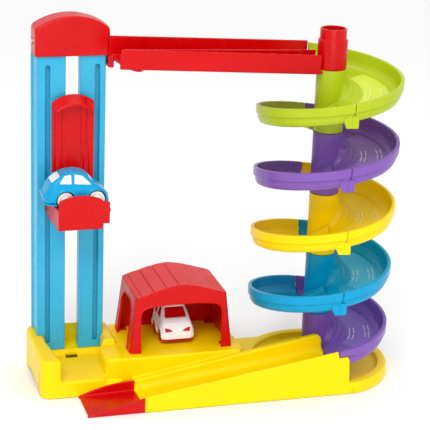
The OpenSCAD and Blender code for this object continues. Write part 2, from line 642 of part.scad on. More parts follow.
base_shell();
exit_ramp();
tower_left();
tower_right();
tower_screws();
tower_cap();
cap_screws();
bridge_track();
chute_1a();
chute_1b();
chute_2a();
chute_2b();
chute_3a();
chute_3b();
chute_4a();
chute_4b();
chute_5a();
garage_canopy();
lift_carriage();
guide_shoe_left();
guide_shoe_right();
shoe_screws();
blue_shell();
blue_windows();
blue_chassis();
blue_screw();
blue_axle_front();
blue_wheel_fl();
blue_wheel_fr();
blue_axle_rear();
blue_wheel_rl();
blue_wheel_rr();
white_shell();
white_windows();
white_chassis();
white_screw();
white_axle_front();
white_wheel_fl();
white_wheel_fr();
white_axle_rear();
white_wheel_rl();
white_wheel_rr();
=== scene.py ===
import math
import bpy
import numpy as np
from mathutils import Matrix, Vector


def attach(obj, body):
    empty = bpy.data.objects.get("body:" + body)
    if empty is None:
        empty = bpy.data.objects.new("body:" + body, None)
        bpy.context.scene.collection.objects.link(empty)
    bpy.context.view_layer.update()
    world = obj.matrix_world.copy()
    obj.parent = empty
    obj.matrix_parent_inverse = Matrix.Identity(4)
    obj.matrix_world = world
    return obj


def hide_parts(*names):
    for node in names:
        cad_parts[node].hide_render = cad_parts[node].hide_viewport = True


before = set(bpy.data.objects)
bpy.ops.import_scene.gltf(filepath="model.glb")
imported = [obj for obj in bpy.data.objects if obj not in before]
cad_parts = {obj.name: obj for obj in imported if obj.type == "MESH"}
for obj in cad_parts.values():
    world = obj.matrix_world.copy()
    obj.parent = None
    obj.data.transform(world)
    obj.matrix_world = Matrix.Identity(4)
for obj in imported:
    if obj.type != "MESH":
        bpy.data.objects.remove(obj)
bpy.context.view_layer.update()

OX, OY = 94.25, 76.5          # drawing origin, in millimetres, to the part's origin
AX, AY = 209.5, 75.0          # spiral axis
PITCH, RIM0, BUMP = 67.9, 351.5, 3.5
LZ = 201.0                    # lift tray floor at rest


# ------------------------------------------------------------------ distance fields (millimetres)
def smin(a, b, k):
    h = np.maximum(k - np.abs(a - b), 0.0) / k
    return np.minimum(a, b) - h * h * (k * 0.25)


def smax(a, b, k):
    return -smin(-a, -b, k)


def union(*d):
    r = d[0]
    for e in d[1:]:
        r = np.minimum(r, e)
    return r


def rect2(u, v, u0, v0, u1, v1, r):
    a = np.abs(u - (u0 + u1) / 2) - (u1 - u0) / 2 + r
    b = np.abs(v - (v0 + v1) / 2) - (v1 - v0) / 2 + r
    return np.minimum(np.maximum(a, b), 0) + np.sqrt(np.maximum(a, 0) ** 2 + np.maximum(b, 0) ** 2) - r


def circ(u, v, cu, cv, r):
    return np.sqrt((u - cu) ** 2 + (v - cv) ** 2) - r


def poly2(u, v, pts):
    """Signed distance to a plain polygon."""
    n = len(pts)
    u, v = np.broadcast_arrays(u, v)
    d = (u - pts[0][0]) ** 2 + (v - pts[0][1]) ** 2
    s = np.ones(d.shape, np.float32)
    for i in range(n):
        xi, yi = pts[i]
        xj, yj = pts[i - 1]
        ex, ey = xj - xi, yj - yi
        wx, wy = u - xi, v - yi
        t = np.clip((wx * ex + wy * ey) / (ex * ex + ey * ey), 0, 1)
        d = np.minimum(d, (wx - ex * t) ** 2 + (wy - ey * t) ** 2)
        c1 = v >= yi
        c2 = v < yj
        c3 = ex * wy > ey * wx
        s = np.where((c1 & c2 & c3) | (~c1 & ~c2 & ~c3), -s, s)
    return s * np.sqrt(d)


def seg2(u, v, p, q):
    ex, ey = q[0] - p[0], q[1] - p[1]
    wx, wy = u - p[0], v - p[1]
    t = np.clip((wx * ex + wy * ey) / (ex * ex + ey * ey), 0, 1)
    return np.sqrt((wx - ex * t) ** 2 + (wy - ey * t) ** 2)


def ext(d2, t, lo, hi, r):
    """Plane outline carried from lo to hi, with its rims rounded by r."""
    a = d2 + r
    b = np.abs(t - (lo + hi) / 2) - (hi - lo) / 2 + r
    return np.minimum(np.maximum(a, b), 0) + np.sqrt(np.maximum(a, 0) ** 2 + np.maximum(b, 0) ** 2) - r


def box3(x, y, z, x0, y0, z0, x1, y1, z1, r):
    a = np.abs(x - (x0 + x1) / 2) - (x1 - x0) / 2 + r
    b = np.abs(y - (y0 + y1) / 2) - (y1 - y0) / 2 + r
    c = np.abs(z - (z0 + z1) / 2) - (z1 - z0) / 2 + r
    return (np.minimum(np.maximum(np.maximum(a, b), c), 0)
            + np.sqrt(np.maximum(a, 0) ** 2 + np.maximum(b, 0) ** 2 + np.maximum(c, 0) ** 2) - r)


def tube(x, y, z, cx, cy, r, z0, z1, rr):
    return ext(circ(x, y, cx, cy, r), z, z0, z1, rr)


# ------------------------------------------------------------------ field to mesh
def surface_net(f, lo, hi, h):
    lo = np.asarray(lo, float) - 2.3 * h
    hi = np.asarray(hi, float) + 2.3 * h
    n = np.ceil((hi - lo) / h).astype(int) + 1
    gx, gy, gz = [(lo[i] + h * np.arange(n[i])).astype(np.float32) for i in range(3)]
    d = np.empty(tuple(n), np.float32)
    step = max(1, int(400000 / (n[1] * n[2])))
    for i in range(0, n[0], step):
        d[i:i + step] = f(gx[i:i + step, None, None], gy[None, :, None], gz[None, None, :])
    s = d < 0
    cnt = np.zeros(tuple(n - 1), np.uint8)
    for a in (0, 1):
        for b in (0, 1):
            for c in (0, 1):
                cnt += s[a:n[0] - 1 + a, b:n[1] - 1 + b, c:n[2] - 1 + c]
    act = (cnt > 0) & (cnt < 8)
    idx = np.full(act.shape, -1, np.int32)
    m = int(act.sum())
    idx[act] = np.arange(m, dtype=np.int32)
    ci, cj, ck = np.nonzero(act)
    acc = np.zeros((m, 3))
    num = np.zeros(m)
    for ax in range(3):
        o1, o2 = [a for a in range(3) if a != ax]
        for p in (0, 1):
            for q in (0, 1):
                off = [0, 0, 0]
                off[o1], off[o2] = p, q
                e = [ci + off[0], cj + off[1], ck + off[2]]
                d0 = d[e[0], e[1], e[2]]
                e[ax] = e[ax] + 1
                d1 = d[e[0], e[1], e[2]]
                hit = (d0 < 0) != (d1 < 0)
                t = np.where(hit, d0 / np.where(d0 == d1, 1, d0 - d1), 0)
                pos = np.zeros((m, 3))
                pos[:] = off
                pos[:, ax] = t
                acc[hit] += pos[hit]
                num += hit
    base = np.stack([ci, cj, ck], 1) + acc / num[:, None]
    v0 = lo + h * base
    v = v0.copy()
    for _ in range(2):
        val, g = value_and_slope(f, v, 0.3 * h)
        g2 = np.maximum((g * g).sum(1), 0.04)
        v = v - g * (val / g2)[:, None]
        move = v - v0
        ln = np.sqrt((move ** 2).sum(1))
        cap = np.minimum(1, 0.8 * h / np.maximum(ln, 1e-9))
        v = v0 + move * cap[:, None]
    quads = []
    for ax in range(3):
        a = [slice(1, -1)] * 3
        b = [slice(1, -1)] * 3
        a[ax] = slice(0, n[ax] - 1)
        b[ax] = slice(1, n[ax])
        s0 = s[tuple(a)]
        s1 = s[tuple(b)]
        e = np.nonzero(s0 != s1)
        first = s0[e]
        i, j, k = [e[q] + (0 if q == ax else 1) for q in range(3)]
        if ax == 0:
            q = [idx[i, j - 1, k - 1], idx[i, j, k - 1], idx[i, j, k], idx[i, j - 1, k]]
        elif ax == 1:
            q = [idx[i - 1, j, k - 1], idx[i - 1, j, k], idx[i, j, k], idx[i, j, k - 1]]
        else:
            q = [idx[i - 1, j - 1, k], idx[i, j - 1, k], idx[i, j, k], idx[i - 1, j, k]]
        q = np.stack(q, 1)
        q[~first] = q[~first][:, ::-1]
        quads.append(q)
    return v, np.concatenate(quads)


def value_and_slope(f, v, e):
    x, y, z = [v[:, i].astype(np.float64) for i in range(3)]
    val = f(x, y, z)
    g = np.stack([f(x + e, y, z) - f(x - e, y, z),
                  f(x, y + e, z) - f(x, y - e, z),
                  f(x, y, z + e) - f(x, y, z - e)], 1) / (2 * e)
    return val, g


def put_mesh(name, v, faces):
    me = bpy.data.meshes.new(name)
    k = faces.shape[1]
    me.vertices.add(len(v))
    me.vertices.foreach_set("co", np.ascontiguousarray(v, np.float32).ravel())
    me.loops.add(faces.size)
    me.loops.foreach_set("vertex_index", np.ascontiguousarray(faces, np.int32).ravel())
    me.polygons.add(len(faces))
    me.polygons.foreach_set("loop_start", np.arange(0, faces.size, k, dtype=np.int32))
    me.update(calc_edges=True)
    me.validate()
    return me


def to_part(v):
    return (np.asarray(v, float) - np.array([OX, OY, 0.0])) / 1000.0


def add_object(name, me):
    o = bpy.data.objects.new(name, me)
    bpy.context.scene.collection.objects.link(o)
    return o


def solid(name, f, lo, hi, h, keep=0.2, shift=None, post=None):
    """Meshes a field, thins the mesh out where it is flat, and takes the shading normals from the field."""
    hh = h * 1.0
    v, q = surface_net(f, lo, hi, hh)
    me = put_mesh(name, v, q)
    o = add_object(name, me)
    if keep < 1:
        mod = o.modifiers.new("thin", "DECIMATE")
        mod.decimate_type = "COLLAPSE"
        mod.ratio = min(1.0, keep * (1.0))
        dg = bpy.context.evaluated_depsgraph_get()
        new = bpy.data.meshes.new_from_object(o.evaluated_get(dg))
        o.modifiers.clear()
        o.data = new
        bpy.data.meshes.remove(me)
        me = new
        me.name = name
    co = np.empty(len(me.vertices) * 3, np.float32)
    me.vertices.foreach_get("co", co)
    co = co.reshape(-1, 3).astype(float)
    _, g = value_and_slope(f, co, 0.35 * h)
    g /= np.maximum(np.sqrt((g * g).sum(1)), 1e-9)[:, None]
    if post is not None:
        co, g = post(co, g)
    if shift is not None:
        co = co + np.asarray(shift, float)
    co = to_part(co)
    me.vertices.foreach_set("co", np.ascontiguousarray(co, np.float32).ravel())
    me.polygons.foreach_set("use_smooth", np.ones(len(me.polygons), bool))
    me.update()
    me.normals_split_custom_set_from_vertices([tuple(n) for n in g])
    return o


def copy_of(o, name, dz):
    c = o.copy()
    c.data = o.data.copy()
    c.name = name
    c.data.name = name
    co = np.empty(len(c.data.vertices) * 3, np.float32)
    c.data.vertices.foreach_get("co", co)
    co = co.reshape(-1, 3)
    co[:, 2] += dz / 1000.0
    c.data.vertices.foreach_set("co", co.ravel())
    c.data.update()
    bpy.context.scene.collection.objects.link(c)
    return c


# ------------------------------------------------------------------ materials
def srgb(r, g, b):
    def lin(c):
        c = c / 255.0
        return c / 12.92 if c <= 0.04045 else ((c + 0.055) / 1.055) ** 2.4
    return (lin(r), lin(g), lin(b), 1.0)


def plastic(name, col, dark, rough=0.3, spread=0.07, grain=0.05, grain_scale=1800.0, coat=0.0, spec=0.32, sss=0.0):
    """Moulded plastic: slow colour drift, uneven gloss and a fine tool texture."""
    m = bpy.data.materials.new(name)
    m.use_nodes = True
    nt = m.node_tree
    bs = nt.nodes["Principled BSDF"]
    tc = nt.nodes.new("ShaderNodeTexCoord")
    n1 = nt.nodes.new("ShaderNodeTexNoise")
    n1.inputs["Scale"].default_value = 22.0
    n1.inputs["Detail"].default_value = 3.0
    n2 = nt.nodes.new("ShaderNodeTexNoise")
    n2.inputs["Scale"].default_value = 90.0
    n2.inputs["Detail"].default_value = 4.0
    n3 = nt.nodes.new("ShaderNodeTexNoise")
    n3.inputs["Scale"].default_value = grain_scale
    n3.inputs["Detail"].default_value = 2.0
    for n in (n1, n2, n3):
        nt.links.new(tc.outputs["Object"], n.inputs["Vector"])
    ramp = nt.nodes.new("ShaderNodeValToRGB")
    ramp.color_ramp.elements[0].position = 0.32
    ramp.color_ramp.elements[0].color = dark
    ramp.color_ramp.elements[1].position = 0.68
    ramp.color_ramp.elements[1].color = col
    nt.links.new(n1.outputs["Fac"], ramp.inputs["Fac"])
    nt.links.new(ramp.outputs["Color"], bs.inputs["Base Color"])
    mr = nt.nodes.new("ShaderNodeMapRange")
    mr.inputs["From Min"].default_value = 0.3
    mr.inputs["From Max"].default_value = 0.7
    mr.inputs["To Min"].default_value = rough - spread
    mr.inputs["To Max"].default_value = rough + spread
    nt.links.new(n2.outputs["Fac"], mr.inputs["Value"])
    nt.links.new(mr.outputs["Result"], bs.inputs["Roughness"])
    bp = nt.nodes.new("ShaderNodeBump")
    bp.inputs["Strength"].default_value = grain
    bp.inputs["Distance"].default_value = 0.0004
    nt.links.new(n3.outputs["Fac"], bp.inputs["Height"])
    nt.links.new(bp.outputs["Normal"], bs.inputs["Normal"])
    bs.inputs["Coat Weight"].default_value = coat
    bs.inputs["Coat Roughness"].default_value = 0.12
    bs.inputs["IOR"].default_value = 1.49
    bs.inputs["Specular IOR Level"].default_value = spec
    if sss > 0:
        bs.inputs["Subsurface Weight"].default_value = sss
        bs.inputs["Subsurface Radius"].default_value = (0.004, 0.003, 0.002)
        bs.inputs["Subsurface Scale"].default_value = 0.5
    return m


def steel(name):
    m = bpy.data.materials.new(name)
    m.use_nodes = True
    nt = m.node_tree
    bs = nt.nodes["Principled BSDF"]
    bs.inputs["Metallic"].default_value = 1.0
    tc = nt.nodes.new("ShaderNodeTexCoord")
    n1 = nt.nodes.new("ShaderNodeTexNoise")
    n1.inputs["Scale"].default_value = 700.0
    n1.inputs["Detail"].default_value = 3.0
    nt.links.new(tc.outputs["Object"], n1.inputs["Vector"])
    ramp = nt.nodes.new("ShaderNodeValToRGB")
    ramp.color_ramp.elements[0].color = (0.45, 0.45, 0.47, 1)
    ramp.color_ramp.elements[1].color = (0.68, 0.68, 0.69, 1)
    nt.links.new(n1.outputs["Fac"], ramp.inputs["Fac"])
    nt.links.new(ramp.outputs["Color"], bs.inputs["Base Color"])
    mr = nt.nodes.new("ShaderNodeMapRange")
    mr.inputs["To Min"].default_value = 0.25
    mr.inputs["To Max"].default_value = 0.45
    nt.links.new(n1.outputs["Fac"], mr.inputs["Value"])
    nt.links.new(mr.outputs["Result"], bs.inputs["Roughness"])
    return m


RED = plastic("red_moulded", srgb(203, 3, 8), srgb(197, 2, 6), rough=0.26, spec=0.22)
# lighter red of the roof tops: real coarse texture, with painted light in the colour
RED_ROOF_PAINTED_LIGHT = plastic("red_textured_painted_light", srgb(226, 60, 62), srgb(217, 50, 52), rough=0.55, grain=0.3, grain_scale=1100.0, spec=0.45)
YELLOW = plastic("yellow_moulded", srgb(251, 216, 0), srgb(250, 211, 0), rough=0.32, spec=0.16)
BLUE = plastic("blue_moulded", srgb(0, 155, 204), srgb(0, 150, 200), rough=0.25, grain=0.02, spec=0.22)
TOWER = plastic("tower_moulded", srgb(56, 173, 213), srgb(44, 168, 210), rough=0.27, grain=0.02, spec=0.3)
LIME = plastic("lime_moulded", srgb(176, 194, 26), srgb(170, 190, 20), rough=0.26, spec=0.27)
PURPLE = plastic("purple_moulded", srgb(129, 89, 174), srgb(121, 81, 168), rough=0.26, spec=0.3)
WHITE = plastic("white_moulded", srgb(236, 234, 234), srgb(231, 229, 230), rough=0.24)
CREAM = plastic("wheel_moulded", srgb(244, 242, 234), srgb(236, 234, 226), rough=0.35)
NATURAL = plastic("shoe_moulded", srgb(226, 224, 214), srgb(218, 216, 206), rough=0.5, grain=0.12)
STEEL = steel("zinc_plated")
# the lighter tread colours are a painted highlight on the tops of the raised bars
TREAD_PAINTED_HIGHLIGHT = {"lime": plastic("lime_tread_painted_highlight", srgb(226, 236, 130), srgb(218, 230, 110), rough=0.25, spec=0.5),
         "purple": plastic("purple_tread_painted_highlight", srgb(206, 188, 228), srgb(196, 176, 222), rough=0.25, spec=0.5),
         "yellow": plastic("yellow_tread_painted_highlight", srgb(255, 238, 130), srgb(255, 234, 110), rough=0.25, spec=0.5),
         "blue": plastic("blue_tread_painted_highlight", srgb(150, 216, 244), srgb(132, 208, 240), rough=0.25, spec=0.5)}
# the running floors of the chutes are moulded with a frosted texture; their lighter colour is a painted sheen
FROST_AND_PAINTED_SHEEN = {"lime": plastic("lime_frosted_painted_sheen", srgb(206, 221, 70), srgb(198, 216, 54), rough=0.6, grain=0.5, grain_scale=900.0, spec=0.5),
         "purple": plastic("purple_frosted_painted_sheen", srgb(148, 112, 192), srgb(138, 100, 185), rough=0.6, grain=0.5, grain_scale=900.0, spec=0.5),
         "yellow": plastic("yellow_frosted_painted_sheen", srgb(255, 224, 30), srgb(254, 216, 16), rough=0.6, grain=0.5, grain_scale=900.0, spec=0.5),
         "blue": plastic("blue_frosted_painted_sheen", srgb(62, 180, 230), srgb(46, 172, 225), rough=0.6, grain=0.5, grain_scale=900.0, spec=0.5)}


def dress(o, mat):
    o.data.materials.clear()
    o.data.materials.append(mat)


def piece(o, mat, body, slot, *nodes):
    dress(o, mat)
    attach(o, body)
    if nodes:
        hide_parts(*nodes)
    return o


# ------------------------------------------------------------------ base
def ramp_floor(x):
    return 3.5 + 0.125 * x


BAY = [(-80, 30), (-80, 52), (-84, 84), (-86.3, 104), (-86.3, 121.8), (-23.5, 121.8), (-23.5, 106), (-27, 98), (-31, 90), (-31, 30)]


def base_solid(x, y, z):
    blk = ext(rect2(x, y, -101, 50.2, -12, 155, 11), z, -30, 42, 3.0)
    strip = box3(x, y, z, -33, 20, 36, 5, 97, 90, 2.5)
    blk = smax(blk, -strip, 4.0)
    shelf = box3(x, y, z, -33, 20, 13, 5, 57, 90, 2.0)
    blk = smax(blk, -shelf, 2.5)
    bay = ext(poly2(x, y, BAY), z, 18, 90, 5.0)
    blk = smax(blk, -bay, 3.5)
    plat = ext(rect2(x, y, -30.5, 57, 121, 155, 8), z, -30, 36, 2.6)
    plat = np.maximum(plat, -ext(poly2(x, y, BAY), z, 10, 90, 2.0))
    d = smin(blk, plat, 3.0)
    sock = box3(x, y, z, -86.3, 119, 24, -21.2, 150.4, 90, 0.6)
    d = np.maximum(d, -sock)
    # low plate and spiral foot
    plate = box3(x, y, z, 100, 50, -30, 215, 146, 10, 1.6)
    d = smin(d, plate, 5.0)
    disc = smax(tube(x, y, z, AX, AY, 80, -30, 12.5, 2.4), -1.2 - y, 1.6)
    dish = smax(tube(x, y, z, AX, AY, 69.5, 7, 60, 2.4), 3.0 - y, 2.0)
    foot = smax(disc, -dish, 2.2)
    boss = tube(x, y, z, AX, AY, 13.1, 0, 27, 0.8)
    chan_keep = np.maximum(np.maximum(112 - x, x - 208), y - 57)
    d_foot = np.minimum(foot, boss)
    d = np.maximum(d, -np.maximum(dish, -np.maximum(chan_keep, z - 60)))
    d = np.minimum(d, d_foot)
    # exit channel
    fl = ext(poly2(x, z, [(-2, -30), (208.1, -30), (208.1, ramp_floor(197)), (197, ramp_floor(197)), (-2, ramp_floor(-2))]), y, 0, 55, 0.7)
    it = lambda a: 13.5 + 0.176 * a
    inner2 = poly2(x, z, [(-2, -30), (208, -30), (208, it(200) - 8), (206.9, it(200) - 3.9), (204, it(200) - 1.1), (200, it(200)), (-2, it(-2))])
    inner = ext(inner2, y, 49.6, 57, 2.6)
    d = smin(d, inner, 2.5)
    d = smin(d, fl, 1.0)
    cove = smin(fl, inner, 9.0)
    d = np.minimum(d, np.maximum(cove, np.maximum(y - 53, 30 - y)))
    nt = lambda a: 17 + 0.155 * a
    near = ext(poly2(x, z, [(-2, -30), (225, -30), (221.3, 39), (218.8, 43), (209.6, 42), (208.2, nt(207)), (206.6, nt(207)), (-2, nt(-2))]) , y, -1.2, 1.8, 0.9)
    d = smin(d, near, 1.6)
    return d


def base_f(x, y, z):
    d = base_solid(x, y, z)
    cav = d + 2.5
    rib = np.minimum(np.abs(np.mod(x + 101.0, 54.0) - 27.0) - 0.9, np.abs(np.mod(y - 3.0, 50.0) - 25.0) - 0.9)
    cav = np.maximum(cav, -np.maximum(rib, 3.0 - z))
    d = np.maximum(d, -cav)
    d = np.maximum(d, -tube(x, y, z, AX, AY, 10.4, -5, 60, 0.3))
    hole = box3(x, y, z, -63, 112, -8, -50, 121, 34, 0.8)
    d = np.maximum(d, -hole)
    arch = np.sqrt((y - 108) ** 2 + (z + 84) ** 2) - 90
    d = np.maximum(d, -np.maximum(arch, x + 96))
    tongue = box3(x, y, z, -3, 10, -6, 8, 40, 2.2, 0.2)
    d = np.maximum(d, -tongue)
    return np.maximum(d, -z)


o = solid("base_moulding", base_f, (-101, -1.2, 0), (289.6, 155, 49.5), 1.0, keep=0.16)
piece(o, YELLOW, "track", "yellow_plastic", "base_shell")


def exit_f(x, y, z):
    fl = ext(poly2(x, z, [(-62, 0), (-2.4, 0), (-2.4, 3.4), (-60, 1.2)]), y, 0, 49, 0.5)
    near = ext(poly2(x, z, [(-62, 0), (-2.4, 0), (-2.4, 15.5), (-61.3, 1.4)]), y, -1, 2.2, 0.9)
    crv = [(-2.4, 0), (-2.4, 14)] + [(-2.4 - 59.6 * t / 12.0, 1.2 + 12.8 * (1 - (t / 12.0) ** 2)) for t in range(1, 13)] + [(-62, 0)]
    far = ext(poly2(x, z, crv), y, 47.3, 49.9, 0.9)
    d = smin(smin(fl, near, 2.0), far, 2.0)
    under = np.maximum(np.maximum(z - (ramp_floor(x) - 2.6 + 1.2), np.abs(y - 24.5) - 21.5), np.maximum(x + 4.5, -46 - x))
    d = np.maximum(d, -under)
    tongue = box3(x, y, z, -3, 11, 0, 6, 39, 1.6, 0.3)
    return np.minimum(d, tongue)


o = solid("exit_ramp_red", exit_f, (-62, -1, 0), (6, 51, 15.5), 0.6, keep=0.25)
piece(o, RED, "track", "red_plastic", "exit_ramp")


# ------------------------------------------------------------------ tower
def rail_f(x0, w, sx, outer_left, lo, hi):
    x1 = x0 + w
    xo = (x0, x0 + 2.4) if outer_left else (x1 - 2.4, x1)
    xg = (x1 - 2.4, x1) if outer_left else (x0, x0 + 2.4)

    def f(x, y, z):
        plan = smin(rect2(x, y, x0, 122, x1, 124.4, 1.1), rect2(x, y, xo[0], 122, xo[1], 150, 1.1), 1.2)
        plan = smin(plan, rect2(x, y, xg[0], 122, xg[1], 135, 1.1), 1.2)
        if outer_left:
            # stiffening return along the back edge, below the cap
            plan = smin(plan, np.maximum(rect2(x, y, xo[0] - 1.7, 147.2, xo[1], 150, 0.9), z - 350), 1.5)
        ch = np.maximum(rect2(x, y, sx - 8.2, 122, sx + 8.2, 129.4, 0.4), -rect2(x, y, sx - 6.8, 121, sx + 6.8, 127.8, 0.3))
        ch = np.maximum(ch, 122.5 - y)
        plan = smin(plan, ch, 0.6)
        d = ext(plan, z, 24.2, 374.1, 0.5)
        rib = np.abs(np.mod(z - 66.8 + 25, 50.0) - 25) - 0.8
        rib = np.maximum(np.maximum(rib, np.abs(z - 191.8) - 130), rect2(x, y, x0 + 1, 129, x1 - 1, 135, 0.3))
        d = smin(d, rib, 0.5)
        d = np.minimum(d, box3(x, y, z, x0 + 0.5, 122.5, 24.2, x1 - 0.5, 142, 27.2, 0.4))
        slot = ext(np.maximum(np.abs(x - sx) - 2.5, np.maximum(z - 338.5, 34.5 - z)), y, 116, 126, 0.1)
        rnd = np.minimum(circ(x, z, sx, 338.5, 2.5), circ(x, z, sx, 34.5, 2.5))
        slot = np.minimum(slot, np.maximum(rnd, np.abs(y - 121) - 4.5))
        d = smax(d, -slot, 0.7)
        bore = sx + (2.4 if outer_left else -4.7)
        d = np.minimum(d, tube(x, y, z, bore, 136, 4.2, 24.2, 38.2, 0.4))
        d = np.maximum(d, -tube(x, y, z, bore, 136, 1.55, 10, 36, 0.1))
        cut = box3(x, y, z, lo, 110, 10, hi, 160, 42.2, 0.1)
        return np.maximum(d, -cut)
    return f


for side, x0, w, sx, ol, lo, hi in (("left", -93.4, 30.0, -81.9, True, -110, -85.8), ("right", -47.9, 26.5, -29.8, False, -21.5, -10)):
    f_ = rail_f(x0, w, sx, ol, lo, hi)
    if side == "right":
        f_ = (lambda g: (lambda x, y, z: np.maximum(g(x, y, z), -box3(x, y, z, -24, 130, 335.5, -19, 140, 344, 0.3))))(f_)
    o = solid("column_" + side, f_, (x0 - (1.8 if ol else 0), 122, 24.2), (x0 + w, 150, 374.1), 0.7, keep=0.09)
    piece(o, TOWER, "track", "blue_plastic", "tower_" + side)


def cap_f(x, y, z):
    def shape(g, k):
        return smax(rect2(x, z, -95.4 + g, 300, -17.4 - g, 420, 0.1), circ(x, z, -56.4, 324.9, 67 - g), k)
    s0 = shape(0, 3.0)
    fr = ext(s0, y, 119.2, 190, 2.6)
    # the back edge is rounder than the front edge
    bk = smax(s0, y - 152.8, 9.0)
    out = np.maximum(fr, bk)
    inn = ext(shape(2.3, 2.0), y, 121.6, 149.4, 1.5)
    # faint raised line low on the front face, with a small arch in the middle
    c = np.minimum(seg2(x, z, (-92, 356), (-70, 356.2)), seg2(x, z, (-44, 356.2), (-21, 356)))
    arc = np.where(np.abs(x + 57) < 13.4, np.abs(z - 356.2 - 5.3 * np.cos((x + 57) / 13.4 * math.pi / 2)) * 0.85, 50.0)
    c = np.minimum(c, arc)
    out = out - 0.4 * np.clip(1.25 - c / 1.2, 0, 1) * (y < 122)
    d = np.maximum(out, -inn)
    d = np.maximum(d, 350.5 - z)
    hole = np.sqrt((y - 136) ** 2 + (z - 364) ** 2) - 1.6
    return np.maximum(d, -np.maximum(hole, 30 - np.abs(x + 56.4)))


o = solid("cap", cap_f, (-95.5, 118.7, 350.5), (-17.3, 152.8, 392), 0.7, keep=0.22)
piece(o, RED, "track", "red_plastic", "tower_cap")

# ------------------------------------------------------------------ bridge
BC, BS = math.cos(math.radians(3.2)), math.sin(math.radians(3.2))


def strip_pts(p, q, t):
    dx, dy = q[0] - p[0], q[1] - p[1]
    ln = math.hypot(dx, dy)
    nx, ny = -dy / ln * t, dx / ln * t
    return [p, q, (q[0] + nx, q[1] + ny), (p[0] + nx, p[1] + ny)]


def bridge_f(x, y, z):
    u = BC * (x + 15) - BS * (z - 351)
    w = BS * (x + 15) + BC * (z - 351)
    fl = ext(poly2(u, y, [(-1, 65), (212, 65), (221, 150.8), (8, 117), (0, 117)]), w, -2.6, 0, 0.7)
    near = ext(rect2(u, y, -4.4, 64, 209.4, 66.4, 1.15), w, -3, 17.4, 1.15)
    inn = ext(poly2(u, y, strip_pts((0.5, 66.4), (212, 92), 2.2)), w, -1, 17, 0.8)
    bk2 = poly2(u, y, strip_pts((-4.2, 116.3), (224.4, 151.9), 2.4))
    top = 20.2 - 0.026 * u
    b = np.abs(w - (top - 2.6) / 2) - (top + 2.6) / 2
    bk = np.maximum(bk2 + 0.9, b + 0.9)
    bk = np.where((bk2 > -0.9) & (b > -0.9), np.sqrt(np.maximum(bk2 + 0.9, 0) ** 2 + np.maximum(b + 0.9, 0) ** 2) - 0.9, bk - 0.9)
    d = smin(fl, near, 1.5)
    d = smin(d, inn, 2.5)
    d = smin(d, bk, 2.5)
    gus = ext(poly2(u, w, [(-3, -2.4), (12, -2), (12, -9), (7, -9)]), y, 112, 119, 0.8)
    lip = ext(poly2(u, w, [(0, -2), (22, -2), (18, -5.4), (14, -5.4)]), y, 66, 69, 0.6)
    d = smin(d, smin(gus, lip, 0.5), 1.0)
    pad = box3(x, y, z, -19.9, 116, 338, -14, 141, 350.2, 1.0)
    hook = np.minimum(box3(x, y, z, -25.5, 131, 340, -19.5, 139, 342.5, 0.4), box3(x, y, z, -25.5, 131, 336.5, -23.1, 139, 342.5, 0.4))
    d = smin(d, np.minimum(pad, hook), 0.8)
    flange = np.maximum(tube(x, y, z, AX, AY, 19.5, 336.8, 343.2, 1.2), np.maximum(x - AX + 0.9, AY - 4 - y))
    d = smin(d, flange, 2.0)
    slv = smin(tube(x, y, z, AX, AY, 15.6, 340.3, 371.5, 1.3), tube(x, y, z, AX, AY, 14.0, 360, 383, 0.9), 0.8)
    d = np.minimum(smin(d, slv, 2.0), slv)
    d = np.maximum(d, -tube(x, y, z, AX, AY, 15.9, 300, 340.25, 0.1))
    d = np.maximum(d, -tube(x, y, z, AX, AY, 11.5, 300, 420, 0.1))
    return np.maximum(d, -tube(x, y, z, AX, AY, 13.2, 300, 351.2, 0.2))


o = solid("bridge", bridge_f, (-26, 58, 325), (225.2, 155, 383), 0.85, keep=0.16)
piece(o, RED, "track", "red_plastic", "bridge_track")


# ------------------------------------------------------------------ spiral
PROFILE = [(73.5, -0.5), (76.4, -0.5), (76.6, -0.8), (76.6, -8.8), (74.5, -9.3), (74.2, -15), (72.6, -18.3), (69, -20.1), (62, -20.5),
           (8, -20.5), (8, -18.9), (62, -18.9), (66.6, -18.1), (70.3, -15.5), (72.4, -11.4), (73.0, -6)]
PROFILE_B = [(73.5, -0.5), (76.4, -0.5), (76.6, -0.8), (76.6, -8.8), (74.5, -9.3), (74.2, -15), (72.6, -18.3), (69, -20.1), (62, -20.5),
             (21, -20.5), (17.5, -18.6), (17.5, -12.9), (18.9, -12.9), (19.5, -16.2), (23, -18.9), (62, -18.9), (66.6, -18.1), (70.3, -15.5), (72.4, -11.4), (73.0, -6)]


def tab_f(x, y, z, t, lap, back):
    th = math.radians(90 - 360 * t)
    rr = x * math.cos(th) + y * math.sin(th)
    tt = -x * math.sin(th) + y * math.cos(th)
    zz = z - (RIM0 - PITCH * t + BUMP * math.sin(math.pi * t) ** 2)
    if back:
        d = ext(poly2(tt, zz, [(-0.6, -14), (-0.6, -26.5), (-3.4, -26.5), (-4.4, -14)]), rr, 73.2, 75.9, 0.5)
        if lap:
            d = np.minimum(d, ext(poly2(tt, zz, [(-2.5, -13), (-2.5, -26.5), (9.5, -26.5), (13, -19), (13, -13)]), rr, 74.95, 76.3, 0.4))
        return d
    d = ext(poly2(tt, zz, [(-0.6, -14), (-0.6, -26), (-8.2, -26), (-11.4, -19), (-11.4, -14)]), rr, 73.2, 75.3, 0.5)
    if lap:
        d = np.minimum(d, box3(tt, rr, zz, -2.5, 74.95, -26, 4.4, 75.9, -12.6, 0.45))
    return d


def treads(r, th, dz):
    """Short raised bars on the running floor, in two tracks."""
    d = np.full(np.broadcast(r, th, dz).shape, 50.0)
    for rc, a0, a1 in ((37.5, -8, -21), (37.5, -25, -38), (42, -8, -21), (42, -25, -38),
                       (54.5, -4, -14), (54.5, -17, -27), (59, -4, -14), (59, -17, -27)):
        am = math.radians((a0 + a1) / 2.0)
        ha = abs(math.radians(a0 - a1)) / 2.0
        d = np.minimum(d, np.maximum(np.abs(r - rc) - 0.85, (np.abs(th - am) - ha) * rc))
    return np.maximum(d, np.abs(dz + 18.6) - 1.15)


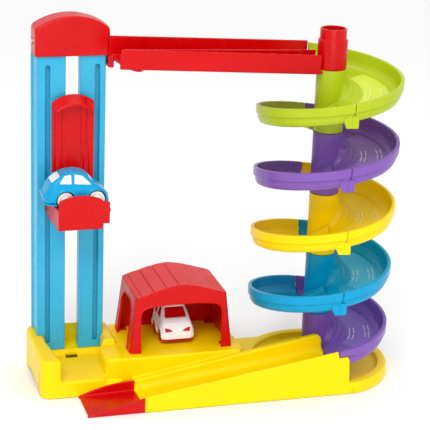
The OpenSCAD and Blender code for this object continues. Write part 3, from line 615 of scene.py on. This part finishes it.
def half_f(first, z_lo, z_hi, tab_t, last=False, lap=True):
    """Half turn of the chute, k = 1 turn: first half with the column, or the plain second half."""
    def f(x, y, z):
        x = x - AX
        y = y - AY
        r = np.sqrt(x * x + y * y)
        if first:
            th = np.arctan2(y, x)
            t = 0.25 - th / (2 * math.pi)
            side = 0.35 - x
        else:
            th = np.arctan2(-y, -x)
            t = 0.75 - th / (2 * math.pi)
            side = x + 0.35
        dz = z - (RIM0 - PITCH * t + BUMP * np.sin(math.pi * t) ** 2)
        d = poly2(r, dz, PROFILE if first else PROFILE_B) - 0.4
        if last:
            cut = box3(x, y, z, -1, -80, 200, 17.5, -72.5, 44 + 4 * PITCH, 0.3)
            d = np.maximum(d, -cut)
        if first:
            col = ext(r - 15.6, z, z_lo + 0.2, z_hi, 0.7)
            # the floor sweeps up into the column, less so towards the seams
            fade = np.clip(np.minimum(t, 0.5 - t) / 0.13, 0.0, 1.0)
            fade = fade * fade * (3 - 2 * fade)
            kk = np.where(dz > -19.7, 2.0 + 21.0 * fade, 1.2)
            d = smin(d, np.maximum(col, -20 - 0 * z), kk)
            ridge = np.exp(-((r - 23.5) / 0.9) ** 2) + 0.8 * np.exp(-((r - 30.0) / 0.9) ** 2)
            d = d - 0.5 * ridge * fade * np.clip((dz + 19.5) / 0.6, 0, 1)
            d = np.minimum(d, treads(r, th, dz))
            d = smax(d, side, 0.7)
            d = np.minimum(d, col)
            ring = np.sqrt((r - 15.7) ** 2 + (z - z_lo) ** 2) - 1.0
            d = np.maximum(d, -ring)
            d = np.minimum(d, ext(r - 13.0, z, z_hi - 2, z_hi + 10, 0.6))
            d = np.maximum(d, -ext(r - 10.8, z, z_lo - 5, z_hi + 30, 0.1))
            d = np.maximum(d, -ext(r - 13.2, z, z_lo - 5, z_hi - 7, 0.1))
        else:
            d = smax(d, side, 0.7)
        if tab_t is not None:
            d = smin(d, tab_f(x, y, z, tab_t, lap, first), 0.5)
        return d
    return f


def frosted_floor_with_painted_light(o, col, dz):
    """Gives the flat running floor of a half turn its frosted finish with a painted sheen, and its raised bars a
    painted highlight.
    """
    me = o.data
    me.materials.append(FROST_AND_PAINTED_SHEEN[col])
    me.materials.append(TREAD_PAINTED_HIGHLIGHT[col])
    n = len(me.polygons)
    c = np.empty(n * 3, np.float32)
    me.polygons.foreach_get("center", c)
    c = c.reshape(-1, 3).astype(float) * 1000.0
    x, y, z = c[:, 0] + OX - AX, c[:, 1] + OY - AY, c[:, 2] - dz
    r = np.hypot(x, y)
    th = np.arctan2(y, x)
    t = 0.25 - th / (2 * math.pi)
    h = z - (RIM0 - PITCH * t + BUMP * np.sin(math.pi * t) ** 2)
    # floor faces that take the frosted finish with its painted sheen
    on = (np.abs(h + 18.5) < 0.5) & (r > 35) & (r < 62.5) & (th < math.radians(35)) & (th > math.radians(-52))
    # tops of the raised bars, which take the painted highlight
    bar = (treads(r, th, h) < 0.25) & (h > -18.35)
    me.polygons.foreach_set("material_index", np.where(bar, 2, on.astype(np.int32)).astype(np.int32))
    me.update()


def chute(name, first, z_lo, z_hi, tab_t, lo, hi, shift=0.0, last=False, lap=True):
    return solid(name, half_f(first, z_lo, z_hi, tab_t, last, lap), lo, hi, 0.8, keep=0.28, shift=(0, 0, shift))


CT = 340.2
COLS = [(1, LIME, "lime"), (2, PURPLE, "purple"), (3, YELLOW, "yellow"), (4, BLUE, "blue")]
a1 = chute("chute_a_1", True, CT - PITCH, CT, 0.0, (AX - 16, AY - 77.2, 272), (AX + 77.2, AY + 77.2, 352), lap=False)
a2 = chute("chute_a_2", True, CT - PITCH, CT, 0.0, (AX - 16, AY - 77.2, 272), (AX + 77.2, AY + 77.2, 352), shift=-PITCH)
b1 = chute("chute_b_1", False, 0, 0, 0.5, (AX - 77.2, AY - 77.2, 260), (AX + 5, AY + 77.2, 326))
a5 = chute("chute_a_5", True, 7 + 4 * PITCH, CT, 0.0, (AX - 16, AY - 77.2, 7 + 4 * PITCH), (AX + 77.2, AY + 77.2, 352), shift=-4 * PITCH, last=True)
halves = {"a1": a1, "a2": a2, "b1": b1, "a5": a5}
for k in (3, 4):
    halves["a%d" % k] = copy_of(a2, "chute_a_%d" % k, -PITCH * (k - 2))
for k in (2, 3, 4):
    halves["b%d" % k] = copy_of(b1, "chute_b_%d" % k, -PITCH * (k - 1))
for k, mat, col in COLS:
    piece(halves["a%d" % k], mat, "track", col + "_plastic", "chute_%da" % k)
    frosted_floor_with_painted_light(halves["a%d" % k], col, -PITCH * (k - 1))
    piece(halves["b%d" % k], mat, "track", col + "_plastic", "chute_%db" % k)
piece(a5, PURPLE, "track", "purple_plastic", "chute_5a")
frosted_floor_with_painted_light(a5, "purple", -4 * PITCH)


# ------------------------------------------------------------------ garage canopy
def arch2(u, z, w, h, r):
    return rect2(u, z, -w / 2, -60, w / 2, h, r)


def garage_f(x, y, z):
    x = x - 53.7
    y = y - 106.5
    z = z - 36.05
    ax_, ay_ = np.abs(x), np.abs(y)

    def body(g):
        a = (ax_ - (57 - 7 * z / 62.0) + g) * 0.9937
        b = (ay_ - (39.5 - 3 * z / 62.0) + g) * 0.9988
        s = smax(a, b, max(5.0 - 1.5 * g, 1.0))
        sl = (z - (61.6 + (50.8 - ax_) * 0.3015) + g) * 0.957
        top = smax(sl, z - 74.6 + g, 5.0)
        return s, top
    s0, t0 = body(0)
    out = smax(s0, t0, 1.2)
    s1, t1 = body(2.3)
    inn = smax(s1, t1, 1.5)
    front = smax(rect2(x, z, -44.5, -60, 44.5, 53, 13), circ(x, z, 0, 53.6 - 190, 190), 3.0)
    sides = np.where(x < 0, arch2(y, z, 44, 52, 15), 50.0)
    fr = np.maximum(front, y + 28)
    sd = np.maximum(sides, 40 - ax_)
    doors = np.minimum(fr, sd)
    lip2 = np.where(y < -28, np.abs(front) - 1.5, 50.0)
    lip2 = np.minimum(lip2, np.where(ax_ > 40, np.abs(sides) - 1.5, 50.0))
    wall = np.maximum(out, -inn)
    lip = smax(smax(s0 - 0.7, t0 + 3.0, 1.0), lip2, 0.6)
    lip = np.maximum(lip, -inn)
    d = smin(wall, lip, 0.6)
    d = smax(d, -doors, 0.8)
    for gx in (-44.2, -30.7, -17, -3.5):
        gr = np.maximum(np.abs(x - gx) - 0.6, -(t0 + 0.8))
        d = smax(d, -gr, 0.5)
    for gx in (10, 23.5, 37):
        gr = np.maximum(np.abs(x - gx) - 0.45, -(t0 + 0.35))
        d = smax(d, -gr, 0.5)
    # feet and pegs
    fx = np.maximum(np.abs(ax_ - 50.4) - 5.2, np.abs(ay_ - 32.6) - 5.4)
    d = np.minimum(d, ext(fx, z, 0, 2.2, 0.5))
    peg = np.maximum(np.abs(ax_ - 50) - 2.4, np.abs(ay_ - 32) - 2.9)
    d = np.minimum(d, ext(peg, z, -8, 1, 0.3))
    low = np.minimum(-z, np.maximum(peg, -8 - z))
    return np.maximum(d, low)


o = solid("canopy", garage_f, (-4.2, 66, 28), (111.6, 147, 110.8), 0.7, keep=0.25)
piece(o, RED, "track", "red_plastic", "garage_canopy")
# the roof's upper faces carry a coarser texture and a lighter colour, which is painted light on the upward faces
me = o.data
me.materials.append(RED_ROOF_PAINTED_LIGHT)
nn = np.empty(len(me.polygons) * 3, np.float32)
me.polygons.foreach_get("normal", nn)
cc = np.empty(len(me.polygons) * 3, np.float32)
me.polygons.foreach_get("center", cc)
roof_top_painted_light = (nn.reshape(-1, 3)[:, 2] > 0.8) & (cc.reshape(-1, 3)[:, 2] > 0.0955)
me.polygons.foreach_set("material_index", roof_top_painted_light.astype(np.int32))
me.update()


# ------------------------------------------------------------------ lift
def lift_f(x, y, z):
    xm = -56.85
    u = x - xm
    w = z - LZ
    # panel
    p2 = smax(rect2(u, w, -22.05, -18, 22.05, 140, 1.0), circ(u, w, 0, 76, 34), 2.0)
    p2 = np.where(w < 76, rect2(u, w, -22.05, -18, 22.05, 140, 1.0), p2)
    pan = ext(p2, y, 113.5, 117.5, 0.9)
    for g in (-17.6, -10.4, 9.6, 15.4):
        gr = np.maximum(np.sqrt((u - g) ** 2 + (y - 112.7) ** 2) - 1.8, 14 - w)
        pan = smax(pan, -gr, 0.8)
    # visor: an arch that narrows as it slopes forward and down
    s = np.clip((115 - y) / 11.6, -0.2, 1.3)
    rr = 34 - 4.0 * s
    zc = 77.2 - 4.0 * s
    ring = np.abs(np.sqrt(u * u + (w - zc + 0.2) ** 2) - rr + 1.2) - 1.2
    v2 = smax(ring * 0.86, np.abs(u) - (22.05 - 2.6 * s), 1.2)
    v2 = np.maximum(v2, zc - w)
    vis = smax(v2, np.maximum(103.4 - y, y - 115), 1.0)
    d = smin(pan, vis, 2.0)
    # tray
    fl = ext(poly2(x, y, [(-80.2, 67), (-27, 67), (-27, 116), (-83.6, 116)]), w, -2.4, 0, 0.9)
    a2 = smax(rect2(x, w, -80.3, -21, -34.4, 40, 1.2), circ(x, w, -57.5, -36, 52), 2.0)
    apr = ext(a2, y, 66, 69.4, 1.6)
    e2 = poly2(x, w, [(-36, -15.2), (-27, -15.2), (-27, 8), (-36, 9.5)])
    apr = smin(apr, ext(e2, y, 66, 69.2, 1.4), 1.0)
    bk2 = rect2(x, w, -83.9, -20, -27, 0, 0.8)
    bk2 = smax(bk2, np.where((x < -71) & (w < -7), circ(x, w, -71, -7, 13), -9.0), 0.5)
    bk = ext(bk2, y, 114.5, 117.5, 0.8)
    # slanted left end with a rounded lower back corner
    e = (x + 80.3 + (y - 66.5) * 0.0806) * 0.9968
    le = rect2(y, w, 66.2, -20.6, 117.4, 0.1, 0.8)
    le = smax(le, np.where((y > 101) & (w < -4), circ(y, w, 101, -4, 16.4), -9.0), 0.5)
    end = smax(np.maximum(-e, e - 2.4), le, 0.9)
    sk = box3(x, y, w, -36.8, 67, -20.5, -34.4, 116, 0, 0.7)
    lip = ext(poly2(x, w, [(-28, -2.4), (-25, -3.6), (-24.6, -2.2), (-27.5, 0)]), y, 72, 110, 0.4)
    t = smin(smin(fl, apr, 2.0), np.minimum(bk, sk), 1.0)
    t = smin(t, end, 1.6)
    t = np.minimum(t, lip)
    d = smin(d, t, 1.5)
    for sx in (-81.9, -29.8):
        arm = box3(x, y, w, sx - 1.9, 115, -18.5, sx + 1.9, 124.7, -10, 0.5)
        arm = np.maximum(arm, -(np.sqrt((x - sx) ** 2 + (w + 14.25) ** 2) - 1.1))
        d = np.minimum(d, arm)
    return d


o = solid("lift_car_carrier", lift_f, (-84.6, 66, 180), (-24.5, 125, 311.3), 0.7, keep=0.22)
piece(o, RED, "lift", "red_plastic", "lift_carriage")


# ------------------------------------------------------------------ cars (nose towards +X, wheels on z = 0)
BLUE_SIDE = [(-35, 5), (-35, 11), (-34, 14.3), (-31.5, 18.5), (-29.4, 23.0), (-26.3, 27.4), (-22.2, 31.2), (-17, 34), (-10.8, 36.5),
             (-2.4, 37.4), (5.9, 36.0), (11.2, 33.2), (15.4, 29.4), (19.7, 23.9), (23.9, 20.8), (29.3, 16.6), (33.6, 11.5), (35, 8), (35, 5)]
WHITE_SIDE = [(-25, 5), (-25, 16), (-24, 23), (-21, 30), (-16, 35.5), (-9, 38), (-3, 38.5), (2, 37), (6, 33.5), (10.5, 28), (18, 22.5),
              (22.5, 17), (24.5, 11), (25, 7.5), (25, 5)]


def step(a, b, z):
    t = np.clip((z - a) / (b - a), 0.0, 1.0)
    return t * t * (3 - 2 * t)


class Car:
    """Field description of one car."""

    def __init__(self, blue):
        self.blue = blue
        if blue:
            self.L, self.W, self.H, self.axles, self.wr = 70.0, 36.0, 37.4, (-12.7, 19.5), 8.5
            self.side, self.corner = BLUE_SIDE, 14.0
        else:
            self.L, self.W, self.H, self.axles, self.wr = 50.0, 38.0, 38.0, (-11.5, 11.5), 7.5
            self.side, self.corner = WHITE_SIDE, 6.0

    def half(self, z):
        if self.blue:
            return 18.0 - 2.6 * step(18.5, 26.0, z) - np.clip(z - 26.0, 0, 20) * 0.27
        return 19.0 - 2.2 * step(16.0, 26.0, z) - np.clip(z - 26.0, 0, 20) * 0.3

    def body(self, x, y, z, g):
        L, W = self.L, self.W
        side = poly2(x, z, self.side) + g
        lean = (np.abs(y) - self.half(z) + g) * 0.96
        plan = rect2(x, y, -L / 2 + g, -W / 2 + g, L / 2 - g, W / 2 - g, self.corner - g)
        return smax(smax(side, lean, 6.0), plan, 4.0)

    def outer(self, x, y, z):
        d = self.body(x, y, z, 0)
        # raised lips round the wheel arches
        for wx in self.axles:
            rr = np.sqrt((x - wx) ** 2 + (z - self.wr) ** 2)
            d = d - 0.9 * np.clip(1.0 - np.abs(rr - self.wr - 2.4) / 1.6, 0, 1) * np.clip((np.abs(y) - 9) / 3.0, 0, 1)
        if self.blue:
            # rear bumper and a crease below the windows
            bump = ext(rect2(x, y, -35.6, -14.5, -29, 14.5, 5), z, 9.5, 14.2, 2.0)
            d = smin(d, bump, 1.2)
            d = d - 0.35 * np.exp(-((z - 23.6) / 0.8) ** 2) * np.clip((np.abs(y) - 9) / 3.0, 0, 1) * (np.abs(x + 2) < 21)
        else:
            d = d + 0.5 * np.exp(-((z - 12.2) / 0.5) ** 2) * (x > 15)
        return d

    def cut(self, x, y, z):
        if self.blue:
            a = poly2(x, z, [(-18.2, 26.8), (-13.2, 33.2), (-7.2, 34.2), (-7.2, 26.2)]) - 0.7
            b = poly2(x, z, [(-3.1, 26.1), (-2.7, 34.3), (4.6, 32.8), (13.0, 24.9)]) - 0.7
            side = np.maximum(np.minimum(a, b), 7 - np.abs(y))
            fr = np.maximum(rect2(y, z, -11.5, 24.6, 11.5, 32.4, 2.5), 11.6 - x)
            rr = np.maximum(rect2(y, z, -10.5, 26.0, 10.5, 33.2, 2.5), x + 17)
            return np.minimum(side, np.minimum(fr, rr))
        a = poly2(x, z, [(-16.6, 26.2), (-12.6, 33.6), (-8.2, 34.4), (-8.2, 26.2)]) - 0.7
        b = poly2(x, z, [(-4.3, 26.2), (-4.3, 34.6), (0.6, 34.0), (6.3, 26.2)]) - 0.7
        side = np.maximum(np.minimum(a, b), 7 - np.abs(y))
        fr = np.maximum(rect2(np.abs(y) + (z - 28.2) * 0.2, z, -30, 26.2, 11.8, 36.0, 1.6), 2.9 - x)
        rr = np.maximum(rect2(y, z, -10, 27, 10, 34, 2.5), x + 16.5)
        ay_ = np.abs(y)
        lamp = np.maximum(poly2(ay_, z, [(6.0, 14.6), (13.2, 14.0), (13.9, 17.6), (10.6, 17.2), (7.6, 15.8)]) - 0.4, 17 - x)
        return np.minimum(np.minimum(side, lamp), np.minimum(fr, rr))

    def shell(self, x, y, z):
        d = self.outer(x, y, z)
        inn = self.body(x, y, z + 0.6, 1.8)
        d = np.maximum(d, -inn)
        d = np.maximum(d, 5 - z)
        d = smax(d, -self.cut(x, y, z), 0.6)
        for wx in self.axles:
            d = smax(d, -(np.sqrt((x - wx) ** 2 + (z - self.wr) ** 2) - self.wr - 1.2), 0.7)
        rb = np.sqrt((x + 1) ** 2 + y * y)
        boss = np.maximum(ext(rb - 3.6, z, 9.6, self.H - 2, 0.3), -np.maximum(rb - 1.55, z - 19))
        return np.minimum(d, boss)

    def panes(self, x, y, z):
        a = self.body(x, y, z, 0.55)
        b = self.body(x, y, z + 0.8, 3.5)
        flush = np.maximum(np.maximum(a, -b), self.cut(x, y, z) + 0.05)
        lining = np.maximum(self.body(x, y, z + 0.8, 2.0), -b)
        lining = np.maximum(lining, (22.5 if self.blue else 13.4) - z)
        lining = np.maximum(lining, -(np.sqrt((x + 1) ** 2 + y * y) - 3.9))
        d = np.minimum(flush, lining)
        for wx in self.axles:
            d = np.maximum(d, -(np.sqrt((x - wx) ** 2 + (z - self.wr) ** 2) - self.wr - 1.2))
        return d

    def chassis(self, x, y, z):
        hw = self.W / 2 - 11.4
        L = self.L
        d = ext(rect2(x, y, -L / 2 + 4, -hw, L / 2 - 4, hw, 1.5), z, 4.4, 7, 0.5)
        for wx in self.axles:
            d = smin(d, box3(x, y, z, wx - 3, -hw, 4.6, wx + 3, hw, self.wr + 3.1, 0.6), 0.6)
        d = np.minimum(d, ext(np.sqrt((x + 1) ** 2 + y * y) - 4.4, z, 4.4, 9.4, 0.4))
        # end plates under the bumpers
        plan = rect2(x, y, -L / 2 + 0.6, -self.W / 2 + 0.6, L / 2 - 0.6, self.W / 2 - 0.6, self.corner - 0.6)
        ends = np.maximum(plan, np.minimum(self.axles[1] + self.wr + 0.8 - x, x - self.axles[0] + self.wr + 0.8))
        d = smin(d, ext(ends, z, 3.6, 4.9, 0.4), 0.3)
        for ex in (-L / 2 + 2.5, L / 2 - 4.5):
            d = smin(d, box3(x, y, z, ex, -self.W / 2 + 8, 4.4, ex + 2, self.W / 2 - 8, 6.8, 0.4), 0.3)
        for wx in self.axles:
            d = np.maximum(d, -(np.sqrt((x - wx) ** 2 + (z - self.wr) ** 2) - 1.6))
        d = np.maximum(d, -(np.sqrt((x + 1) ** 2 + y * y) - 1.6))
        return np.maximum(d, -ext(np.sqrt((x + 1) ** 2 + y * y) - 2.9, z, -5, 5.9, 0.1))


def lathe(name, prof, n=56):
    """Closed ring of the (radius, height) outline about the Y axis."""
    m = len(prof)
    a = np.arange(n) * 2 * math.pi / n
    v = np.array([[p[0] * math.cos(t), p[1], p[0] * math.sin(t)] for t in a for p in prof])
    q = [[i * m + j, i * m + (j + 1) % m, ((i + 1) % n) * m + (j + 1) % m, ((i + 1) % n) * m + j] for i in range(n) for j in range(m)]
    return v, np.array(q)


def wheel_mesh(name, out, r):
    """Wheel about the Y axis; its outer face looks along +Y when out is 1."""
    prof = [(1.55, -5.8), (3.0, -5.8), (3.0, -3.4), (r - 0.9, -3.4), (r - 0.3, -3.1), (r, -2.4), (r, -1.0), (r - 0.25, -0.8), (r - 0.25, -0.4), (r, -0.2),
            (r, 1.4), (r - 0.25, 1.6), (r - 0.25, 2.0), (r, 2.2), (r - 0.05, 3.0), (r - 0.5, 3.6), (r - 1.5, 3.8), (r - 2.1, 3.6), (r - 2.4, 2.9), (3.7, 2.9), (3.3, 3.3), (3.2, 4.2), (2.8, 4.6), (1.2, 4.7), (0.02, 4.7), (0.02, 3.5), (1.5, 3.5)]
    v, q = lathe(name, prof)
    if out > 0:
        q = q[:, ::-1] * 1
    v = v * np.array([1, out, 1])
    return v, q


def place_blue(v):
    return v + np.array([-59.0, 90.5, LZ + 0.5])


def place_white(v):
    return np.stack([v[:, 1] + 54.0, -v[:, 0] + 107.5, v[:, 2] + 36.5], 1)


def turn_white(n):
    return np.stack([n[:, 1], -n[:, 0], n[:, 2]], 1)


def post_for(which):
    if which == "blue":
        return lambda co, g: (place_blue(co), g)
    return lambda co, g: (place_white(co), turn_white(g))


CARS = [("blue", BLUE, "blue_plastic", WHITE, "white_plastic", BLUE, "blue_plastic", CREAM, "white_plastic"),
        ("white", WHITE, "white_plastic", RED, "red_plastic", RED, "red_plastic", RED, "red_plastic")]
for car, bm, bslot, wm, wslot, cm, cslot, tm, tslot in CARS:
    body = car + "_car"
    c = Car(car == "blue")
    lo, hi = (-c.L / 2 - 1, -c.W / 2 - 1, 3.4), (c.L / 2 + 1, c.W / 2 + 1, c.H + 0.5)
    o = solid(car + "_car_body", c.shell, lo, hi, 0.45, keep=0.25, post=post_for(car))
    piece(o, bm, body, bslot, car + "_shell")
    o = solid(car + "_car_panes", c.panes, lo, hi, 0.45, keep=0.25, post=post_for(car))
    piece(o, wm, body, wslot, car + "_windows")
    o = solid(car + "_car_floor", c.chassis, lo, (hi[0], hi[1], 13), 0.45, keep=0.25, post=post_for(car))
    piece(o, cm, body, cslot, car + "_chassis")
    for end, wx in (("front", c.axles[1]), ("rear", c.axles[0])):
        for tag, q in (("l", 1), ("r", -1)):
            v, f = wheel_mesh("w", q, c.wr)
            v = v + np.array([wx, q * (c.W / 2 - 5.2), c.wr])
            v = place_blue(v) if car == "blue" else place_white(v)
            nm = "%s_wheel_%s%s" % (car, end[0], tag)
            me = put_mesh(nm + "_moulded", to_part(v), f)
            o = add_object(nm + "_moulded", me)
            me.polygons.foreach_set("use_smooth", np.ones(len(me.polygons), bool))
            me.set_sharp_from_angle(angle=math.radians(38))
            piece(o, tm, "%s_%s_wheels" % (car, end), tslot, nm)

# ------------------------------------------------------------------ CAD nodes that stay: screws, axles, shoes
for nm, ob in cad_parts.items():
    if nm.endswith("screws") or nm.endswith("_screw") or "_axle_" in nm:
        dress(ob, STEEL)
    elif nm.startswith("guide_shoe"):
        dress(ob, NATURAL)
    else:
        continue
    bv = ob.modifiers.new("edge", "BEVEL")
    bv.width = 0.0003
    bv.segments = 2
    bv.limit_method = "ANGLE"
    bv.angle_limit = math.radians(40)

# ------------------------------------------------------------------ floor, light, camera
fm = bpy.data.meshes.new("studio_floor")
R = 6.0
fm.from_pydata([(-R, -R, 0), (R, -R, 0), (R, R, 0), (-R, R, 0)], [], [(0, 1, 2, 3)])
floor = add_object("studio_floor", fm)
floor.location = (0, 0, -0.0006)
mf = bpy.data.materials.new("studio_white")
mf.use_nodes = True
nb = mf.node_tree.nodes["Principled BSDF"]
nb.inputs["Base Color"].default_value = (0.93, 0.93, 0.93, 1)
nb.inputs["Roughness"].default_value = 0.7
floor.data.materials.append(mf)

world = bpy.data.worlds.new("studio")
bpy.context.scene.world = world
world.use_nodes = True
bg = world.node_tree.nodes["Background"]
bg.inputs["Color"].default_value = (1, 1, 1, 1)
bg.inputs["Strength"].default_value = 0.8


def area(name, loc, target, sx, sy, power):
    ld = bpy.data.lights.new(name, "AREA")
    ld.shape = "RECTANGLE"
    ld.size, ld.size_y = sx, sy
    ld.energy = power
    lo_ = bpy.data.objects.new(name, ld)
    lo_.location = loc
    dv = Vector(target) - Vector(loc)
    lo_.rotation_euler = dv.to_track_quat("-Z", "Y").to_euler()
    bpy.context.scene.collection.objects.link(lo_)


area("key", (-0.7, -1.0, 1.2), (0, 0, 0.15), 0.32, 0.32, 3.5)
area("fill", (1.3, -0.9, 0.9), (0, 0, 0.2), 0.5, 0.8, 2)
area("top", (0.1, 0.1, 1.5), (0, 0, 0.1), 0.6, 0.5, 2.5)
area("front", (-0.35, -1.7, 0.4), (0.05, 0, 0.2), 0.8, 0.4, 4)
sd_ = bpy.data.lights.new("sun", "SUN")
sd_.energy = 0.9
sd_.angle = 0.6
so_ = bpy.data.objects.new("sun", sd_)
so_.rotation_euler = (math.radians(38), math.radians(-14), 0)
bpy.context.scene.collection.objects.link(so_)

F_, P_, A_, R_, D_ = 1560.0, math.radians(18.6), math.radians(16.8), math.radians(2.13), 1615.6
fw = Vector((math.sin(A_) * math.cos(P_), math.cos(A_) * math.cos(P_), -math.sin(P_)))
rt = Vector((math.cos(A_), -math.sin(A_), 0))
up = rt.cross(fw)
r2 = rt * math.cos(R_) + up * math.sin(R_)
u2 = up * math.cos(R_) - rt * math.sin(R_)
# the drawing origin appears at pixel (147, 412)
eye = -(fw * D_) - r2 * ((147 - 215) / F_ * D_) + u2 * ((412 - 215) / F_ * D_)
cam = bpy.data.cameras.new("camera")
cam.sensor_fit = "HORIZONTAL"
cam.sensor_width = 36.0
cam.lens = 36.0 * F_ / 430.0
cam.clip_start = 0.05
cam.clip_end = 50.0
co_ = bpy.data.objects.new("camera", cam)
mw = Matrix.Identity(4)
for i in range(3):
    mw[i][0], mw[i][1], mw[i][2] = r2[i], u2[i], -fw[i]
mw[0][3], mw[1][3], mw[2][3] = (eye.x - OX) / 1000, (eye.y - OY) / 1000, eye.z / 1000
co_.matrix_world = mw
bpy.context.scene.collection.objects.link(co_)
bpy.context.scene.camera = co_
bpy.context.scene.view_settings.view_transform = "Standard"
bpy.context.scene.view_settings.look = "None"
